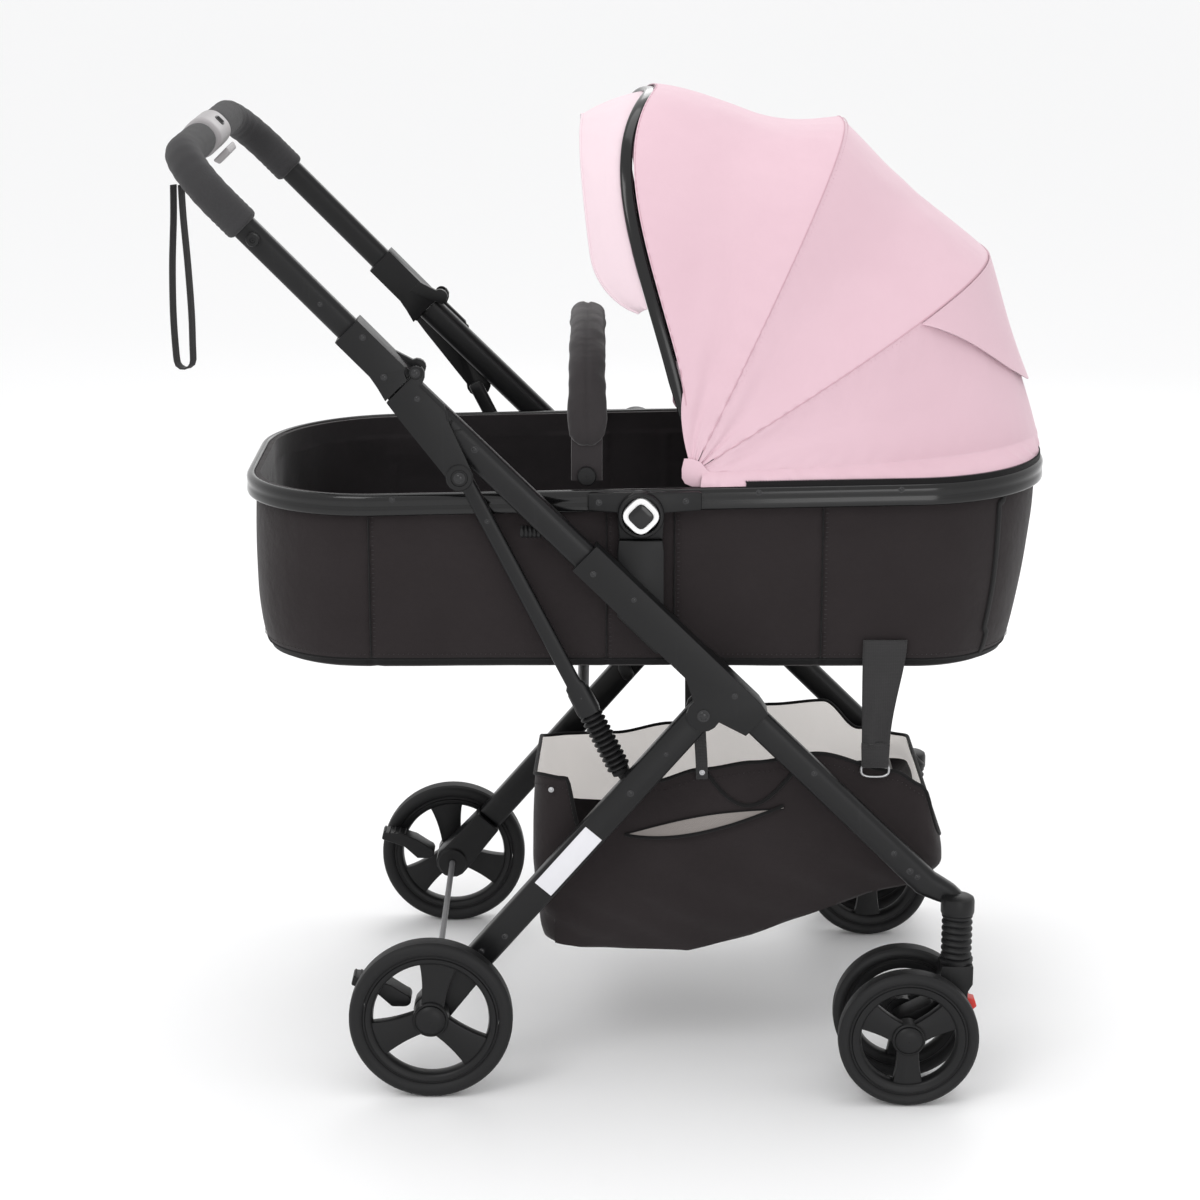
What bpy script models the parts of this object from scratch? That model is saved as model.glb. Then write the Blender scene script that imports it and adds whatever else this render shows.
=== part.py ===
"""Baby stroller with a carrycot: folding frame, sprung castors, cot, hood and basket."""
import math

import bmesh
import bpy
from mathutils import Matrix, Vector

# Frame: X forward, Y to the left of the stroller, Z up, metres, wheels on Z = 0.
GAP = 0.0003
RIGHT, LEFT = -1, 1
SIDES = {"r": RIGHT, "l": LEFT}

# Side frame, as points (x, z) in the plane of one side
PART_POINT = (-0.2206, 0.7831)
MAIN_SLOPE = math.radians(44.6)
HANDLE_SLOPE = math.radians(45.5)
FRAME_Y = 0.240
MAIN_HALF_Y, MAIN_HALF_H = 0.0110, 0.0150
HANDLE_HALF_Y, HANDLE_HALF_H = 0.0100, 0.0135
FOLD_RISE = 0.0205
HUMP_CLEARANCE = 0.0116
STRUT_TOP = (-0.1627, 0.6870)
STRUT_FOOT = (0.0152, 0.3354)
LEG_TOP = (0.0926, 0.4285)
LEG_HALF_W = 0.0155
LEG_Y = (0.2290, 0.2480)
LEG_LENGTH = 0.3790

# Handlebar
BAR_REACH = 0.3227
BAR_CORNER = 0.065
GRIP_START = 0.2270
GRIP_R = 0.0185
HOUSING_HALF_Y = 0.0450
HOUSING_R = 0.0205

# Wheels
REAR_AXLE = (-0.2005, 0.0890)
REAR_WHEEL_Y = 0.2650
REAR_HALF_W = 0.0140
REAR_TYRE = 0.0150
FRONT_AXLE = (0.3156, 0.0760)
SWIVEL_X, SWIVEL_Y = 0.3690, 0.2520
TWIN_OFFSET = 0.0375
FRONT_HALF_W = 0.0130
TUBE_END_Z = 0.2133
GAITER_BOTTOM_Z = 0.1495
FORK_TOP_Z = 0.1487

# Cot
RIM_X = (-0.4050, 0.4685)
RIM_HALF_Y = 0.2170
RIM_BAND = 0.0088
RIM_Z = (0.6410, 0.6645)
RIM_TILT = 0.020
RIM_CORNER = 0.150
COT_BOTTOM_Z = 0.4655
COT_WALL = 0.007
HUB_CENTRE = (0.0260, 0.6400)

# Hood: bows fan about one axis, angles from vertical, positive towards the head end
HOOD_AXIS = (0.0805, 0.6810)
HOOD_RADIUS = 0.3850
HOOD_HALF_Y = 0.2040
BOW_ANGLES = {"front": -6.5, "middle": 25.5, "rear": 57.6}
RIM_ANGLE = 88.0
BOW_HALF_W, BOW_HALF_T = 0.0065, 0.0035
BOW_FOOT_TAPER = 0.068
VISOR_TURN, VISOR_REACH = 24, 0.076
SIDE_PUSH = 0.036

COLOURS = {
    "frame": ((0.020, 0.020, 0.021), 0.42, 0.0),
    "plastic": ((0.018, 0.018, 0.019), 0.50, 0.0),
    "foam": ((0.055, 0.053, 0.056), 0.90, 0.0),
    "grey": ((0.42, 0.40, 0.40), 0.45, 0.0),
    "steel": ((0.35, 0.35, 0.36), 0.35, 1.0),
    "tyre": ((0.022, 0.022, 0.023), 0.75, 0.0),
    "rubber": ((0.016, 0.016, 0.017), 0.70, 0.0),
    "red": ((0.70, 0.05, 0.04), 0.40, 0.0),
    "black_fabric": ((0.030, 0.025, 0.026), 0.90, 0.0),
    "lining": ((0.50, 0.48, 0.46), 0.90, 0.0),
    "pink": ((0.80, 0.57, 0.64), 0.85, 0.0),
    "pale_pink": ((0.88, 0.73, 0.78), 0.85, 0.0),
    "white": ((0.90, 0.90, 0.90), 0.35, 0.0),
    "gloss_black": ((0.010, 0.010, 0.011), 0.18, 0.0),
}


# ---------------------------------------------------------------- helpers

def clear_scene():
    for obj in list(bpy.data.objects):
        bpy.data.objects.remove(obj, do_unlink=True)


def material(name):
    mat = bpy.data.materials.get(name)
    if mat is None:
        mat = bpy.data.materials.new(name)
        mat.use_nodes = True
        colour, roughness, metallic = COLOURS[name]
        shader = mat.node_tree.nodes["Principled BSDF"]
        shader.inputs["Base Color"].default_value = (*colour, 1.0)
        shader.inputs["Roughness"].default_value = roughness
        shader.inputs["Metallic"].default_value = metallic
    return mat


def add_object(name, bm, finish, origin=(0.0, 0.0, 0.0), smooth=None):
    """Turns a bmesh into an object whose origin is at the given point."""
    bmesh.ops.recalc_face_normals(bm, faces=bm.faces)
    mesh = bpy.data.meshes.new(name)
    bmesh.ops.translate(bm, verts=bm.verts, vec=-Vector(origin))
    bm.to_mesh(mesh)
    bm.free()
    mesh.materials.append(material(finish))
    if smooth:
        mesh.shade_smooth()
        mesh.set_sharp_from_angle(angle=math.radians(smooth))
    obj = bpy.data.objects.new(name, mesh)
    obj.location = origin
    bpy.context.scene.collection.objects.link(obj)
    return obj


def skin(bm, rings, closed=False):
    """Joins rings of equal length with quads, and caps the ends unless the rings close."""
    loops = [[bm.verts.new(p) for p in ring] for ring in rings]
    pairs = list(zip(loops, loops[1:] + loops[:1])) if closed else list(zip(loops, loops[1:]))
    for a, b in pairs:
        count = len(a)
        for i in range(count):
            j = (i + 1) % count
            bm.faces.new((a[i], a[j], b[j], b[i]))
    if not closed:
        bm.faces.new(list(reversed(loops[0])))
        bm.faces.new(loops[-1])


def extrude_xz(bm, outline, y0, y1):
    """A prism of an (x, z) outline between two depths."""
    skin(bm, [[(x, y, z) for x, z in outline] for y in (y0, y1)])


def side_span(side, inner, outer):
    low, high = sorted((side * inner, side * outer))
    return low, high


def arc(centre, radius, start, end, steps):
    """Points of an arc in the (x, z) plane, in degrees."""
    points = []
    for i in range(steps + 1):
        angle = math.radians(start + (end - start) * i / steps)
        points.append((centre[0] + radius * math.cos(angle), centre[1] + radius * math.sin(angle)))
    return points


def cylinder(bm, centre, radius, y0, y1, sides=16, turn=0.0):
    """A cylinder along Y about an (x, z) centre."""
    extrude_xz(bm, arc(centre, radius, turn, turn + 360 * (sides - 1) / sides, sides - 1), y0, y1)


def frame_of(slope):
    """Down-tube direction and its upward normal in (x, z)."""
    down = Vector((math.cos(slope), -math.sin(slope)))
    up = Vector((math.sin(slope), math.cos(slope)))
    return down, up


MAIN_DOWN, MAIN_UP = frame_of(MAIN_SLOPE)
HANDLE_DOWN, HANDLE_UP = frame_of(HANDLE_SLOPE)


def on_main(s, t):
    point = Vector(PART_POINT) + MAIN_DOWN * s + MAIN_UP * t
    return point.x, point.y


def on_handle(s, t):
    point = Vector(PART_POINT) + HANDLE_DOWN * s + HANDLE_UP * t
    return point.x, point.y


def to_main(point):
    """The (s, t) place of an (x, z) point along and above the main tube."""
    offset = Vector(point) - Vector(PART_POINT)
    return offset.dot(MAIN_DOWN), offset.dot(MAIN_UP)


FOLD_PIVOT = on_main(0.0, FOLD_RISE)
LEG_DIR = (Vector(REAR_AXLE) - Vector(LEG_TOP)).normalized()
LEG_SIDE = Vector((-LEG_DIR.y, LEG_DIR.x))
STRUT_DIR = (Vector(STRUT_FOOT) - Vector(STRUT_TOP)).normalized()
STRUT_SIDE = Vector((-STRUT_DIR.y, STRUT_DIR.x))
STRUT_LENGTH = (Vector(STRUT_FOOT) - Vector(STRUT_TOP)).length


def on_line(start, direction, across, s, t):
    point = Vector(start) + direction * s + across * t
    return point.x, point.y


def oval(centre, across, up, half_a, half_b, power=3.0, sides=12):
    """A superellipse ring about a 3-D centre in the plane of two directions."""
    ring = []
    for i in range(sides):
        angle = 2 * math.pi * (i + 0.5) / sides
        c, s = math.cos(angle), math.sin(angle)
        a = math.copysign(abs(c) ** (2 / power), c) * half_a
        b = math.copysign(abs(s) ** (2 / power), s) * half_b
        ring.append(Vector(centre) + Vector(across) * a + Vector(up) * b)
    return ring


def sleeve(bm, outer, inner):
    """A hollow tube from matching outer and inner rings, open at both ends."""
    skin(bm, outer + list(reversed(inner)), closed=True)


def apply_boolean(obj, tool, operation):
    mod = obj.modifiers.new("cut", "BOOLEAN")
    mod.operation = operation
    mod.object = tool
    bpy.context.view_layer.update()
    depsgraph = bpy.context.evaluated_depsgraph_get()
    mesh = bpy.data.meshes.new_from_object(obj.evaluated_get(depsgraph))
    obj.modifiers.clear()
    obj.data = mesh
    bpy.data.objects.remove(tool, do_unlink=True)


# ---------------------------------------------------------------- chassis

def main_tube(tag, side):
    y = side * FRAME_Y
    stations = [(on_main(s, 0.0), MAIN_UP) for s in (GAP, 0.30, 0.7805)]
    bend = math.radians(28)
    stations.append(((0.3535, 0.2248), Vector((math.cos(bend), math.sin(bend)))))
    stations.append(((SWIVEL_X, TUBE_END_Z), Vector((1.0, 0.0))))
    rings = []
    for (x, z), up in stations:
        rings.append(oval((x, y, z), (0, 1, 0), (up.x, 0, up.y), MAIN_HALF_Y, MAIN_HALF_H))
    bm = bmesh.new()
    skin(bm, rings)
    add_object(f"main_tube_{tag}", bm, "frame", smooth=35)


def fold_bracket(tag, side):
    """Outer cheek from the fold pivot to the strut's rivet, with both pins."""
    strut_s, strut_t = to_main(STRUT_TOP)
    outline = [on_main(s, t) for s, t in (
        (0.0005, 0.0285), (0.0065, 0.0270), (0.0105, 0.0225),
        (0.0130, 0.0165), (0.0440, 0.0165), (0.0620, 0.0060))]
    boss = [on_main(*p) for p in arc((strut_s, strut_t), 0.0145, 60, -140, 8)]
    lower = [on_main(s, t) for s, t in ((0.0186, -0.0265), (0.0005, -0.0235))]
    bm = bmesh.new()
    extrude_xz(bm, outline + boss + lower, *side_span(side, 0.2513, 0.2585))
    plate = add_object(f"fold_bracket_{tag}", bm, "plastic", smooth=35)
    for centre, radius, inner in ((FOLD_PIVOT, 0.0028, 0.2290), (STRUT_TOP, 0.0040, 0.2290)):
        pin = bmesh.new()
        cylinder(pin, centre, radius, *side_span(side, inner, 0.2550), sides=10)
        apply_boolean(plate, add_object("pin", pin, "plastic"), "UNION")


def leg_connector(tag, side):
    """Saddle over the main tube whose cheeks hold the rear leg's pivot."""
    leg_s, leg_t = to_main(LEG_TOP)
    upper = ((0.262, 0.0195), (0.505, 0.0195), (0.520, 0.0165), (0.520, -0.0170))
    outline = [on_main(s, t) for s, t in upper]
    outline += [on_main(*p) for p in arc((leg_s, leg_t), 0.0180, 20, -190, 9)]
    outline += [on_main(s, t) for s, t in ((0.430, -0.0170), (0.262, -0.0170))]
    bm = bmesh.new()
    extrude_xz(bm, outline, *side_span(side, 0.2235, 0.2565))
    saddle = add_object(f"leg_connector_{tag}", bm, "plastic")
    channel = bmesh.new()
    extrude_xz(channel, [on_main(s, t) for s, t in ((0.2, -0.09), (0.6, -0.09), (0.6, 0.0154), (0.2, 0.0154))],
               *side_span(side, 0.2287, 0.2513))
    apply_boolean(saddle, add_object("channel", channel, "plastic"), "DIFFERENCE")
    relief = bmesh.new()
    extrude_xz(relief, [on_main(s, t) for s, t in ((0.2, -0.04), (0.430, -0.04), (0.430, 0.04), (0.2, 0.04))],
               *side_span(side, 0.2100, 0.2300))
    apply_boolean(saddle, add_object("relief", relief, "plastic"), "DIFFERENCE")


def cot_adapter(tag, side):
    """Post on the main tube that the cot's hub stands on."""
    outline = [(0.0030, 0.6124), (0.0490, 0.6124), (0.0505, 0.6000), (0.0505, 0.4950),
               (0.0430, 0.4880), (0.0010, 0.5300), (0.0010, 0.6000)]
    bm = bmesh.new()
    extrude_xz(bm, outline, *side_span(side, 0.2190, 0.2286))
    add_object(f"cot_adapter_{tag}", bm, "plastic")


def front_cross_tube():
    bm = bmesh.new()
    cylinder(bm, on_main(0.766, 0.0), 0.008, -0.2286, 0.2286, sides=14)
    add_object("front_cross_tube", bm, "frame", smooth=40)


def plan_ring(x_low, x_high, half_y, corner, z, tilt=0.0, steps=5):
    """A rounded rectangle in plan, as points (x, y, z)."""
    ring = []
    corners = ((x_high - corner, half_y - corner, 0), (x_low + corner, half_y - corner, 90),
               (x_low + corner, corner - half_y, 180), (x_high - corner, corner - half_y, 270))
    for cx, cy, start in corners:
        for i in range(steps + 1):
            angle = math.radians(start + 90 * i / steps)
            x = cx + corner * math.cos(angle)
            ring.append((x, cy + corner * math.sin(angle), z + tilt * x))
    return ring


def basket():
    """Open storage bag slung under the seat; its floor rises towards the front."""
    levels = ((-0.060, 0.230, 0.185, 0.1420, 0.160), (-0.083, 0.255, 0.203, 0.1580, 0.150),
              (-0.088, 0.300, 0.205, 0.2330, 0.045), (-0.086, 0.314, 0.205, 0.2640, 0.030))
    wall = 0.004
    outer, inner = [], []
    for x_low, x_high, half_y, z, tilt in levels:
        outer.append(plan_ring(x_low, x_high, half_y, 0.030, z, tilt, steps=3))
        inner.append(plan_ring(x_low + wall, x_high - wall, half_y - wall, 0.026, z, tilt, steps=3))
    floor = [(x, y, z + wall) for x, y, z in inner[0]]
    bm = bmesh.new()
    skin(bm, outer + list(reversed(inner[1:])) + [floor])
    add_object("basket", bm, "black_fabric", smooth=50)


# ---------------------------------------------------------------- handle

def bar_path(start, y_end, side):
    """Centres and tangents from a distance up one arm, round its corner, to a depth on the crossbar."""
    arm_y = side * FRAME_Y
    path = [(start, arm_y, (1.0, 0.0))]
    corner_v = BAR_REACH - BAR_CORNER
    corner_y = side * (FRAME_Y - BAR_CORNER)
    for i in range(7):
        angle = math.radians(90 * i / 6)
        v = corner_v + BAR_CORNER * math.sin(angle)
        y = corner_y + side * BAR_CORNER * math.cos(angle)
        path.append((v, y, (math.cos(angle), -side * math.sin(angle))))
    path.append((BAR_REACH, y_end, (0.0, -side)))
    return path


def bar_ring(station, half_in, half_up, grow=0.0, power=3.0):
    v, y, (tv, ty) = station
    x, z = on_handle(-v, 0.0)
    along = Vector((-HANDLE_DOWN.x * tv, ty, -HANDLE_DOWN.y * tv))
    up = Vector((HANDLE_UP.x, 0.0, HANDLE_UP.y))
    across = along.cross(up)
    return oval((x, y, z), across, up, half_in + grow, half_up + grow, power)


def handlebar_tube():
    right = bar_path(0.0009, 0.0, RIGHT)[:-1]
    left = bar_path(0.0009, 0.0, LEFT)[:-1]
    back = [(v, y, (-tv, -ty)) for v, y, (tv, ty) in reversed(left)]
    rings = [bar_ring(station, HANDLE_HALF_Y, HANDLE_HALF_H) for station in right + back]
    bm = bmesh.new()
    skin(bm, rings)
    add_object("handlebar_tube", bm, "frame", smooth=40)


def grip(tag, side):
    path = bar_path(GRIP_START, side * (HOUSING_HALF_Y + 0.0008), side)
    outer = [bar_ring(s, GRIP_R, GRIP_R, power=2.0) for s in path]
    inner = [bar_ring(s, HANDLE_HALF_Y, HANDLE_HALF_H, grow=0.0004) for s in path]
    bm = bmesh.new()
    sleeve(bm, outer, inner)
    add_object(f"grip_{tag}", bm, "foam", smooth=50)


def release_housing():
    stations = [(BAR_REACH, y, (0.0, -1.0)) for y in (HOUSING_HALF_Y, -HOUSING_HALF_Y)]
    outer = [bar_ring(s, HOUSING_R, HOUSING_R, power=2.4) for s in stations]
    inner = [bar_ring(s, HANDLE_HALF_Y, HANDLE_HALF_H, grow=0.0004) for s in stations]
    bm = bmesh.new()
    sleeve(bm, outer, inner)
    add_object("release_housing", bm, "grey", smooth=50)


def release_trigger():
    """Squeeze bar on the inner side of the housing."""
    outline = [on_handle(-(BAR_REACH - 0.0255), 0.0110), on_handle(-(BAR_REACH - 0.0255), -0.0110),
               on_handle(-(BAR_REACH - 0.0335), -0.0085), on_handle(-(BAR_REACH - 0.0335), 0.0085)]
    bm = bmesh.new()
    extrude_xz(bm, outline, -0.030, 0.030)
    add_object("release_trigger", bm, "grey")


def handle_sleeve(tag, side):
    """End fitting of the handle tube, with an inner ear that turns on the fold pin."""
    outline = [on_handle(s, t) for s, t in (
        (-0.080, 0.0165), (-0.0012, 0.0165), (-0.0012, -0.0232),
        (-0.0170, -0.0190), (-0.0300, -0.0165), (-0.080, -0.0165))]
    bm = bmesh.new()
    extrude_xz(bm, outline, *side_span(side, 0.2220, 0.2585))
    body = add_object(f"handle_sleeve_{tag}", bm, "plastic")
    ear = bmesh.new()
    ear_outline = arc(FOLD_PIVOT, 0.0090, -75, 120, 8) + [on_handle(-0.030, 0.0160), on_handle(-0.030, 0.0)]
    extrude_xz(ear, ear_outline, *side_span(side, 0.2216, 0.2286))
    apply_boolean(body, add_object("ear", ear, "plastic"), "UNION")
    bore = bmesh.new()
    rings = []
    for s in (-0.0820, 0.0030):
        x, z = on_handle(s, 0.0)
        rings.append(oval((x, side * FRAME_Y, z), (0, 1, 0), (HANDLE_UP.x, 0, HANDLE_UP.y),
                          HANDLE_HALF_Y + 0.0005, HANDLE_HALF_H + 0.0005))
    skin(bore, rings)
    apply_boolean(body, add_object("bore", bore, "plastic"), "DIFFERENCE")
    relief = bmesh.new()
    cylinder(relief, FOLD_PIVOT, HUMP_CLEARANCE, *side_span(side, 0.2510, 0.2600), sides=24)
    apply_boolean(body, add_object("relief", relief, "plastic"), "DIFFERENCE")


def cup_holder_peg():
    bm = bmesh.new()
    cylinder(bm, on_handle(-0.2120, 0.0), 0.0070, -0.2620, -0.2504, sides=14)
    add_object("cup_holder_peg", bm, "plastic", smooth=40)


def strap_route():
    """Route of the wrist strap: down from the bar, round the bottom and up again."""
    y = -0.2000
    ends = ((-0.4480, 0.9830), (-0.4560, 0.9830))
    front = [(-0.4480, 0.9830), (-0.4470, 0.9500), (-0.4440, 0.9000), (-0.4420, 0.8500), (-0.4420, 0.8150)]
    bend = arc((-0.4505, 0.8000), 0.0085, 0, -180, 6)
    back = [(-0.4600, 0.8150), (-0.4610, 0.8500), (-0.4600, 0.9000), (-0.4570, 0.9500), ends[1]]
    return [Vector((x, y, z)) for x, z in front + bend + back]


def smooth_route(points, spacing):
    """Points of a Catmull-Rom curve through a route, at roughly even spacing."""
    out = []
    for i in range(len(points) - 1):
        p0, p1, p2, p3 = points[max(i - 1, 0)], points[i], points[i + 1], points[min(i + 2, len(points) - 1)]
        steps = max(1, round((p2 - p1).length / spacing))
        for k in range(steps):
            t = k / steps
            out.append(0.5 * (2 * p1 + (p2 - p0) * t + (2 * p0 - 5 * p1 + 4 * p2 - p3) * t * t
                              + (3 * p1 - p0 - 3 * p2 + p3) * t ** 3))
    return out + [points[-1]]


def wrist_strap():
    points = smooth_route(strap_route(), 0.010)
    curve = bpy.data.curves.new("wrist_strap", "CURVE")
    curve.dimensions = "3D"
    curve.bevel_depth = 0.0022
    curve.bevel_resolution = 2
    curve.use_fill_caps = True
    spline = curve.splines.new("POLY")
    spline.points.add(len(points) - 1)
    for knot, point in zip(spline.points, points):
        knot.co = (*point, 1.0)
    curve.materials.append(material("black_fabric"))
    obj = bpy.data.objects.new("wrist_strap", curve)
    bpy.context.scene.collection.objects.link(obj)


# ---------------------------------------------------------------- rear frame

def rear_leg(tag, side):
    top = [on_line(LEG_TOP, LEG_DIR, LEG_SIDE, *p) for p in arc((0, 0), LEG_HALF_W, 90, 270, 8)]
    foot = [on_line(LEG_TOP, LEG_DIR, LEG_SIDE, LEG_LENGTH, t) for t in (-LEG_HALF_W, LEG_HALF_W)]
    bm = bmesh.new()
    extrude_xz(bm, top + foot, *side_span(side, *LEG_Y))
    add_object(f"rear_leg_{tag}", bm, "frame", origin=(LEG_TOP[0], side * FRAME_Y, LEG_TOP[1]), smooth=40)


def brake_housing(tag, side):
    """Moulding that carries the rear axle at the foot of a leg."""
    reach = (Vector(REAR_AXLE) - Vector(LEG_TOP)).length
    outline = [on_line(LEG_TOP, LEG_DIR, LEG_SIDE, LEG_LENGTH + GAP, t) for t in (0.0165, -0.0165)]
    outline += [on_line(LEG_TOP, LEG_DIR, LEG_SIDE, reach + p[0], p[1]) for p in arc((0, 0), 0.0200, -100, 100, 9)]
    bm = bmesh.new()
    extrude_xz(bm, outline, *side_span(side, 0.2225, 0.2490))
    add_object(f"brake_housing_{tag}", bm, "plastic", smooth=40)


def rear_axle():
    bm = bmesh.new()
    cylinder(bm, REAR_AXLE, 0.0035, -0.2222, 0.2222, sides=10)
    add_object("rear_axle", bm, "steel", origin=(REAR_AXLE[0], 0, REAR_AXLE[1]), smooth=40)


PEDAL_PIVOT = (-0.2300, 0.1010)


def brake_pedal(tag, side):
    outline = arc(PEDAL_PIVOT, 0.0072, -100, 80, 6)
    outline += [(-0.2450, 0.1190), (-0.2650, 0.1260), (-0.2860, 0.1280), (-0.2880, 0.1190),
                (-0.2600, 0.1090), (-0.2440, 0.0940)]
    bm = bmesh.new()
    extrude_xz(bm, outline, *side_span(side, 0.2225, 0.2485))
    add_object(f"brake_pedal_{tag}", bm, "plastic", origin=(PEDAL_PIVOT[0], side * FRAME_Y, PEDAL_PIVOT[1]))


STRUT_MID_Y = 0.2240
STRUT_HALF_W, STRUT_HALF_T = 0.0082, 0.0045
STRUT_TUBE_END = 0.3000
ROD_HALF_W, ROD_HALF_T = 0.0045, 0.0023


def strut_ring(s, side, half_w, half_t, offset=0.0, power=4.0, sides=12):
    x, z = on_line(STRUT_TOP, STRUT_DIR, STRUT_SIDE, s, 0.0)
    centre = (x, side * (STRUT_MID_Y + offset), z)
    return oval(centre, (0, 1, 0), (STRUT_SIDE.x, 0, STRUT_SIDE.y), half_t, half_w, power, sides)


def strut_frame():
    """Two struts, hollow at the foot, joined by the cross tube between them."""
    tubes = []
    for side in (RIGHT, LEFT):
        outer = [(-0.008, 1.0), (0.262, 1.0), (0.266, 1.35), (0.299, 1.35), (STRUT_TUBE_END, 1.2)]
        rings = [strut_ring(s, side, STRUT_HALF_W * k, STRUT_HALF_T) for s, k in outer]
        bore = []
        for s in (STRUT_TUBE_END, 0.1900):
            bore.append(strut_ring(s, side, ROD_HALF_W + GAP * 2, ROD_HALF_T + GAP * 2))
        bm = bmesh.new()
        skin(bm, rings + bore)
        tubes.append(bm)
    cross = on_line(STRUT_TOP, STRUT_DIR, STRUT_SIDE, 0.2825, 0.0)
    bar = bmesh.new()
    cylinder(bar, cross, 0.0062, -0.2203, 0.2203, sides=14)
    frame = add_object("strut_frame", bar, "frame", origin=(STRUT_TOP[0], 0, STRUT_TOP[1]))
    for bm in tubes:
        apply_boolean(frame, add_object("tube", bm, "frame", origin=(STRUT_TOP[0], 0, STRUT_TOP[1])), "UNION")


def strut_foot(tag, side):
    """Rod that slides in a strut, with its eye on the leg."""
    bm = bmesh.new()
    stations = [(0.2050, 1.0, 1.0), (0.3810, 1.0, 1.0), (0.3860, 1.7, 1.9), (0.4000, 1.7, 1.9),
                (0.4030, 1.0, 1.7)]
    skin(bm, [strut_ring(s, side, ROD_HALF_W * w, ROD_HALF_T * t) for s, w, t in stations])
    add_object(f"strut_foot_{tag}", bm, "plastic", smooth=40)


def strut_gaiter(tag, side):
    """Bellows over a sliding rod."""
    start, end, ribs = STRUT_TUBE_END + GAP, 0.3690, 5
    outer, inner = [], []
    for i in range(2 * ribs + 1):
        s = start + (end - start) * i / (2 * ribs)
        radius = 0.0138 if i % 2 else 0.0122
        outer.append(strut_ring(s, side, radius, radius, offset=-0.0050, power=2.0))
        inner.append(strut_ring(s, side, ROD_HALF_W + GAP * 2, ROD_HALF_T + GAP * 2))
    bm = bmesh.new()
    sleeve(bm, outer, inner)
    add_object(f"strut_gaiter_{tag}", bm, "rubber", smooth=20)


# ---------------------------------------------------------------- wheels

def spoked_disc(bm, centre, side_y, profile, window, spokes=3, turn=90.0, segments=24):
    """A wheel as one closed body: rings of a half-thickness profile, with windows between two rings.

    profile is a list of (radius, half thickness, offset); window is the index of the ring gap left open.
    """
    per = segments // spokes
    solid_cells = 3
    grids = []
    for radius, half, offset in profile:
        near, far = [], []
        for i in range(segments):
            angle = math.radians(turn + 360 * (i - 1.5) / segments)
            x = centre[0] + radius * math.cos(angle)
            z = centre[1] + radius * math.sin(angle)
            near.append(bm.verts.new((x, side_y + offset - half, z)))
            far.append(bm.verts.new((x, side_y + offset + half, z)))
        grids.append((near, far))

    def is_open(ring, cell):
        return ring == window and cell % segments % per >= solid_cells

    for ring in range(len(profile) - 1):
        for cell in range(segments):
            if is_open(ring, cell):
                continue
            nxt = (cell + 1) % segments
            for layer in (0, 1):
                a, b = grids[ring][layer], grids[ring + 1][layer]
                quad = (a[cell], a[nxt], b[nxt], b[cell])
                bm.faces.new(quad)
            for edge, neighbour in ((cell, cell - 1), (nxt, cell + 1)):
                if is_open(ring, neighbour % segments):
                    bm.faces.new((grids[ring][0][edge], grids[ring + 1][0][edge],
                                  grids[ring + 1][1][edge], grids[ring][1][edge]))
    for ring, rim_ring in ((window, window), (window + 1, window)):
        for cell in range(segments):
            if is_open(rim_ring, cell):
                nxt = (cell + 1) % segments
                near, far = grids[ring]
                bm.faces.new((near[cell], near[nxt], far[nxt], far[cell]))
    for layer in (0, 1):
        bm.faces.new(grids[0][layer])
    last = grids[-1]
    for cell in range(segments):
        nxt = (cell + 1) % segments
        bm.faces.new((last[0][cell], last[0][nxt], last[1][nxt], last[1][cell]))


def rear_wheel(tag, side):
    y = side * REAR_WHEEL_Y
    radius = REAR_AXLE[1]
    rim = radius - REAR_TYRE
    profile = [(0.0120, 0.0162, side * 0.0010), (0.0200, 0.0140, 0.0), (rim - 0.0085, 0.0085, 0.0),
               (rim, 0.0100, 0.0)]
    bm = bmesh.new()
    spoked_disc(bm, REAR_AXLE, y, profile, window=1, turn=82 if side < 0 else 98)
    add_object(f"rear_wheel_{tag}", bm, "plastic", origin=(REAR_AXLE[0], y, REAR_AXLE[1]), smooth=35)
    tyre = bmesh.new()
    segments = 32
    bead = rim / math.cos(math.pi / segments) + GAP
    section = [(bead, -0.0095), (radius - 0.0055, -REAR_HALF_W), (radius - 0.0012, -0.0080), (radius, 0.0),
               (radius - 0.0012, 0.0080), (radius - 0.0055, REAR_HALF_W), (bead, 0.0095)]
    rings = []
    for i in range(segments):
        angle = math.radians(-90 + 360 * i / segments)
        c, s = math.cos(angle), math.sin(angle)
        rings.append([(REAR_AXLE[0] + r * c, y + w, REAR_AXLE[1] + r * s) for r, w in section])
    skin(tyre, rings, closed=True)
    add_object(f"rear_tyre_{tag}", tyre, "tyre", origin=(REAR_AXLE[0], y, REAR_AXLE[1]), smooth=35)


def front_wheel(tag, place, side, offset):
    y = side * (SWIVEL_Y + offset)
    radius = FRONT_AXLE[1]
    profile = [(0.0110, 0.0128, 0.0), (0.0180, 0.0110, 0.0), (radius - 0.0215, 0.0085, 0.0),
               (radius - 0.0055, FRONT_HALF_W, 0.0), (radius, 0.0080, 0.0)]
    bm = bmesh.new()
    spoked_disc(bm, FRONT_AXLE, y, profile, window=1, turn=-90 + 7.5 * 3)
    origin = (FRONT_AXLE[0], y, FRONT_AXLE[1])
    add_object(f"front_wheel_{tag}_{place}", bm, "tyre", origin=origin, smooth=35)


def front_post(tag, side):
    """Sliding stem of the castor's spring."""
    bm = bmesh.new()
    bmesh.ops.create_cone(bm, cap_ends=True, segments=14, radius1=0.0085, radius2=0.0085,
                          depth=0.2020 - FORK_TOP_Z - GAP,
                          matrix=Matrix.Translation((SWIVEL_X, side * SWIVEL_Y, (0.2020 + FORK_TOP_Z + GAP) / 2)))
    add_object(f"front_post_{tag}", bm, "steel", smooth=40)


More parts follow.
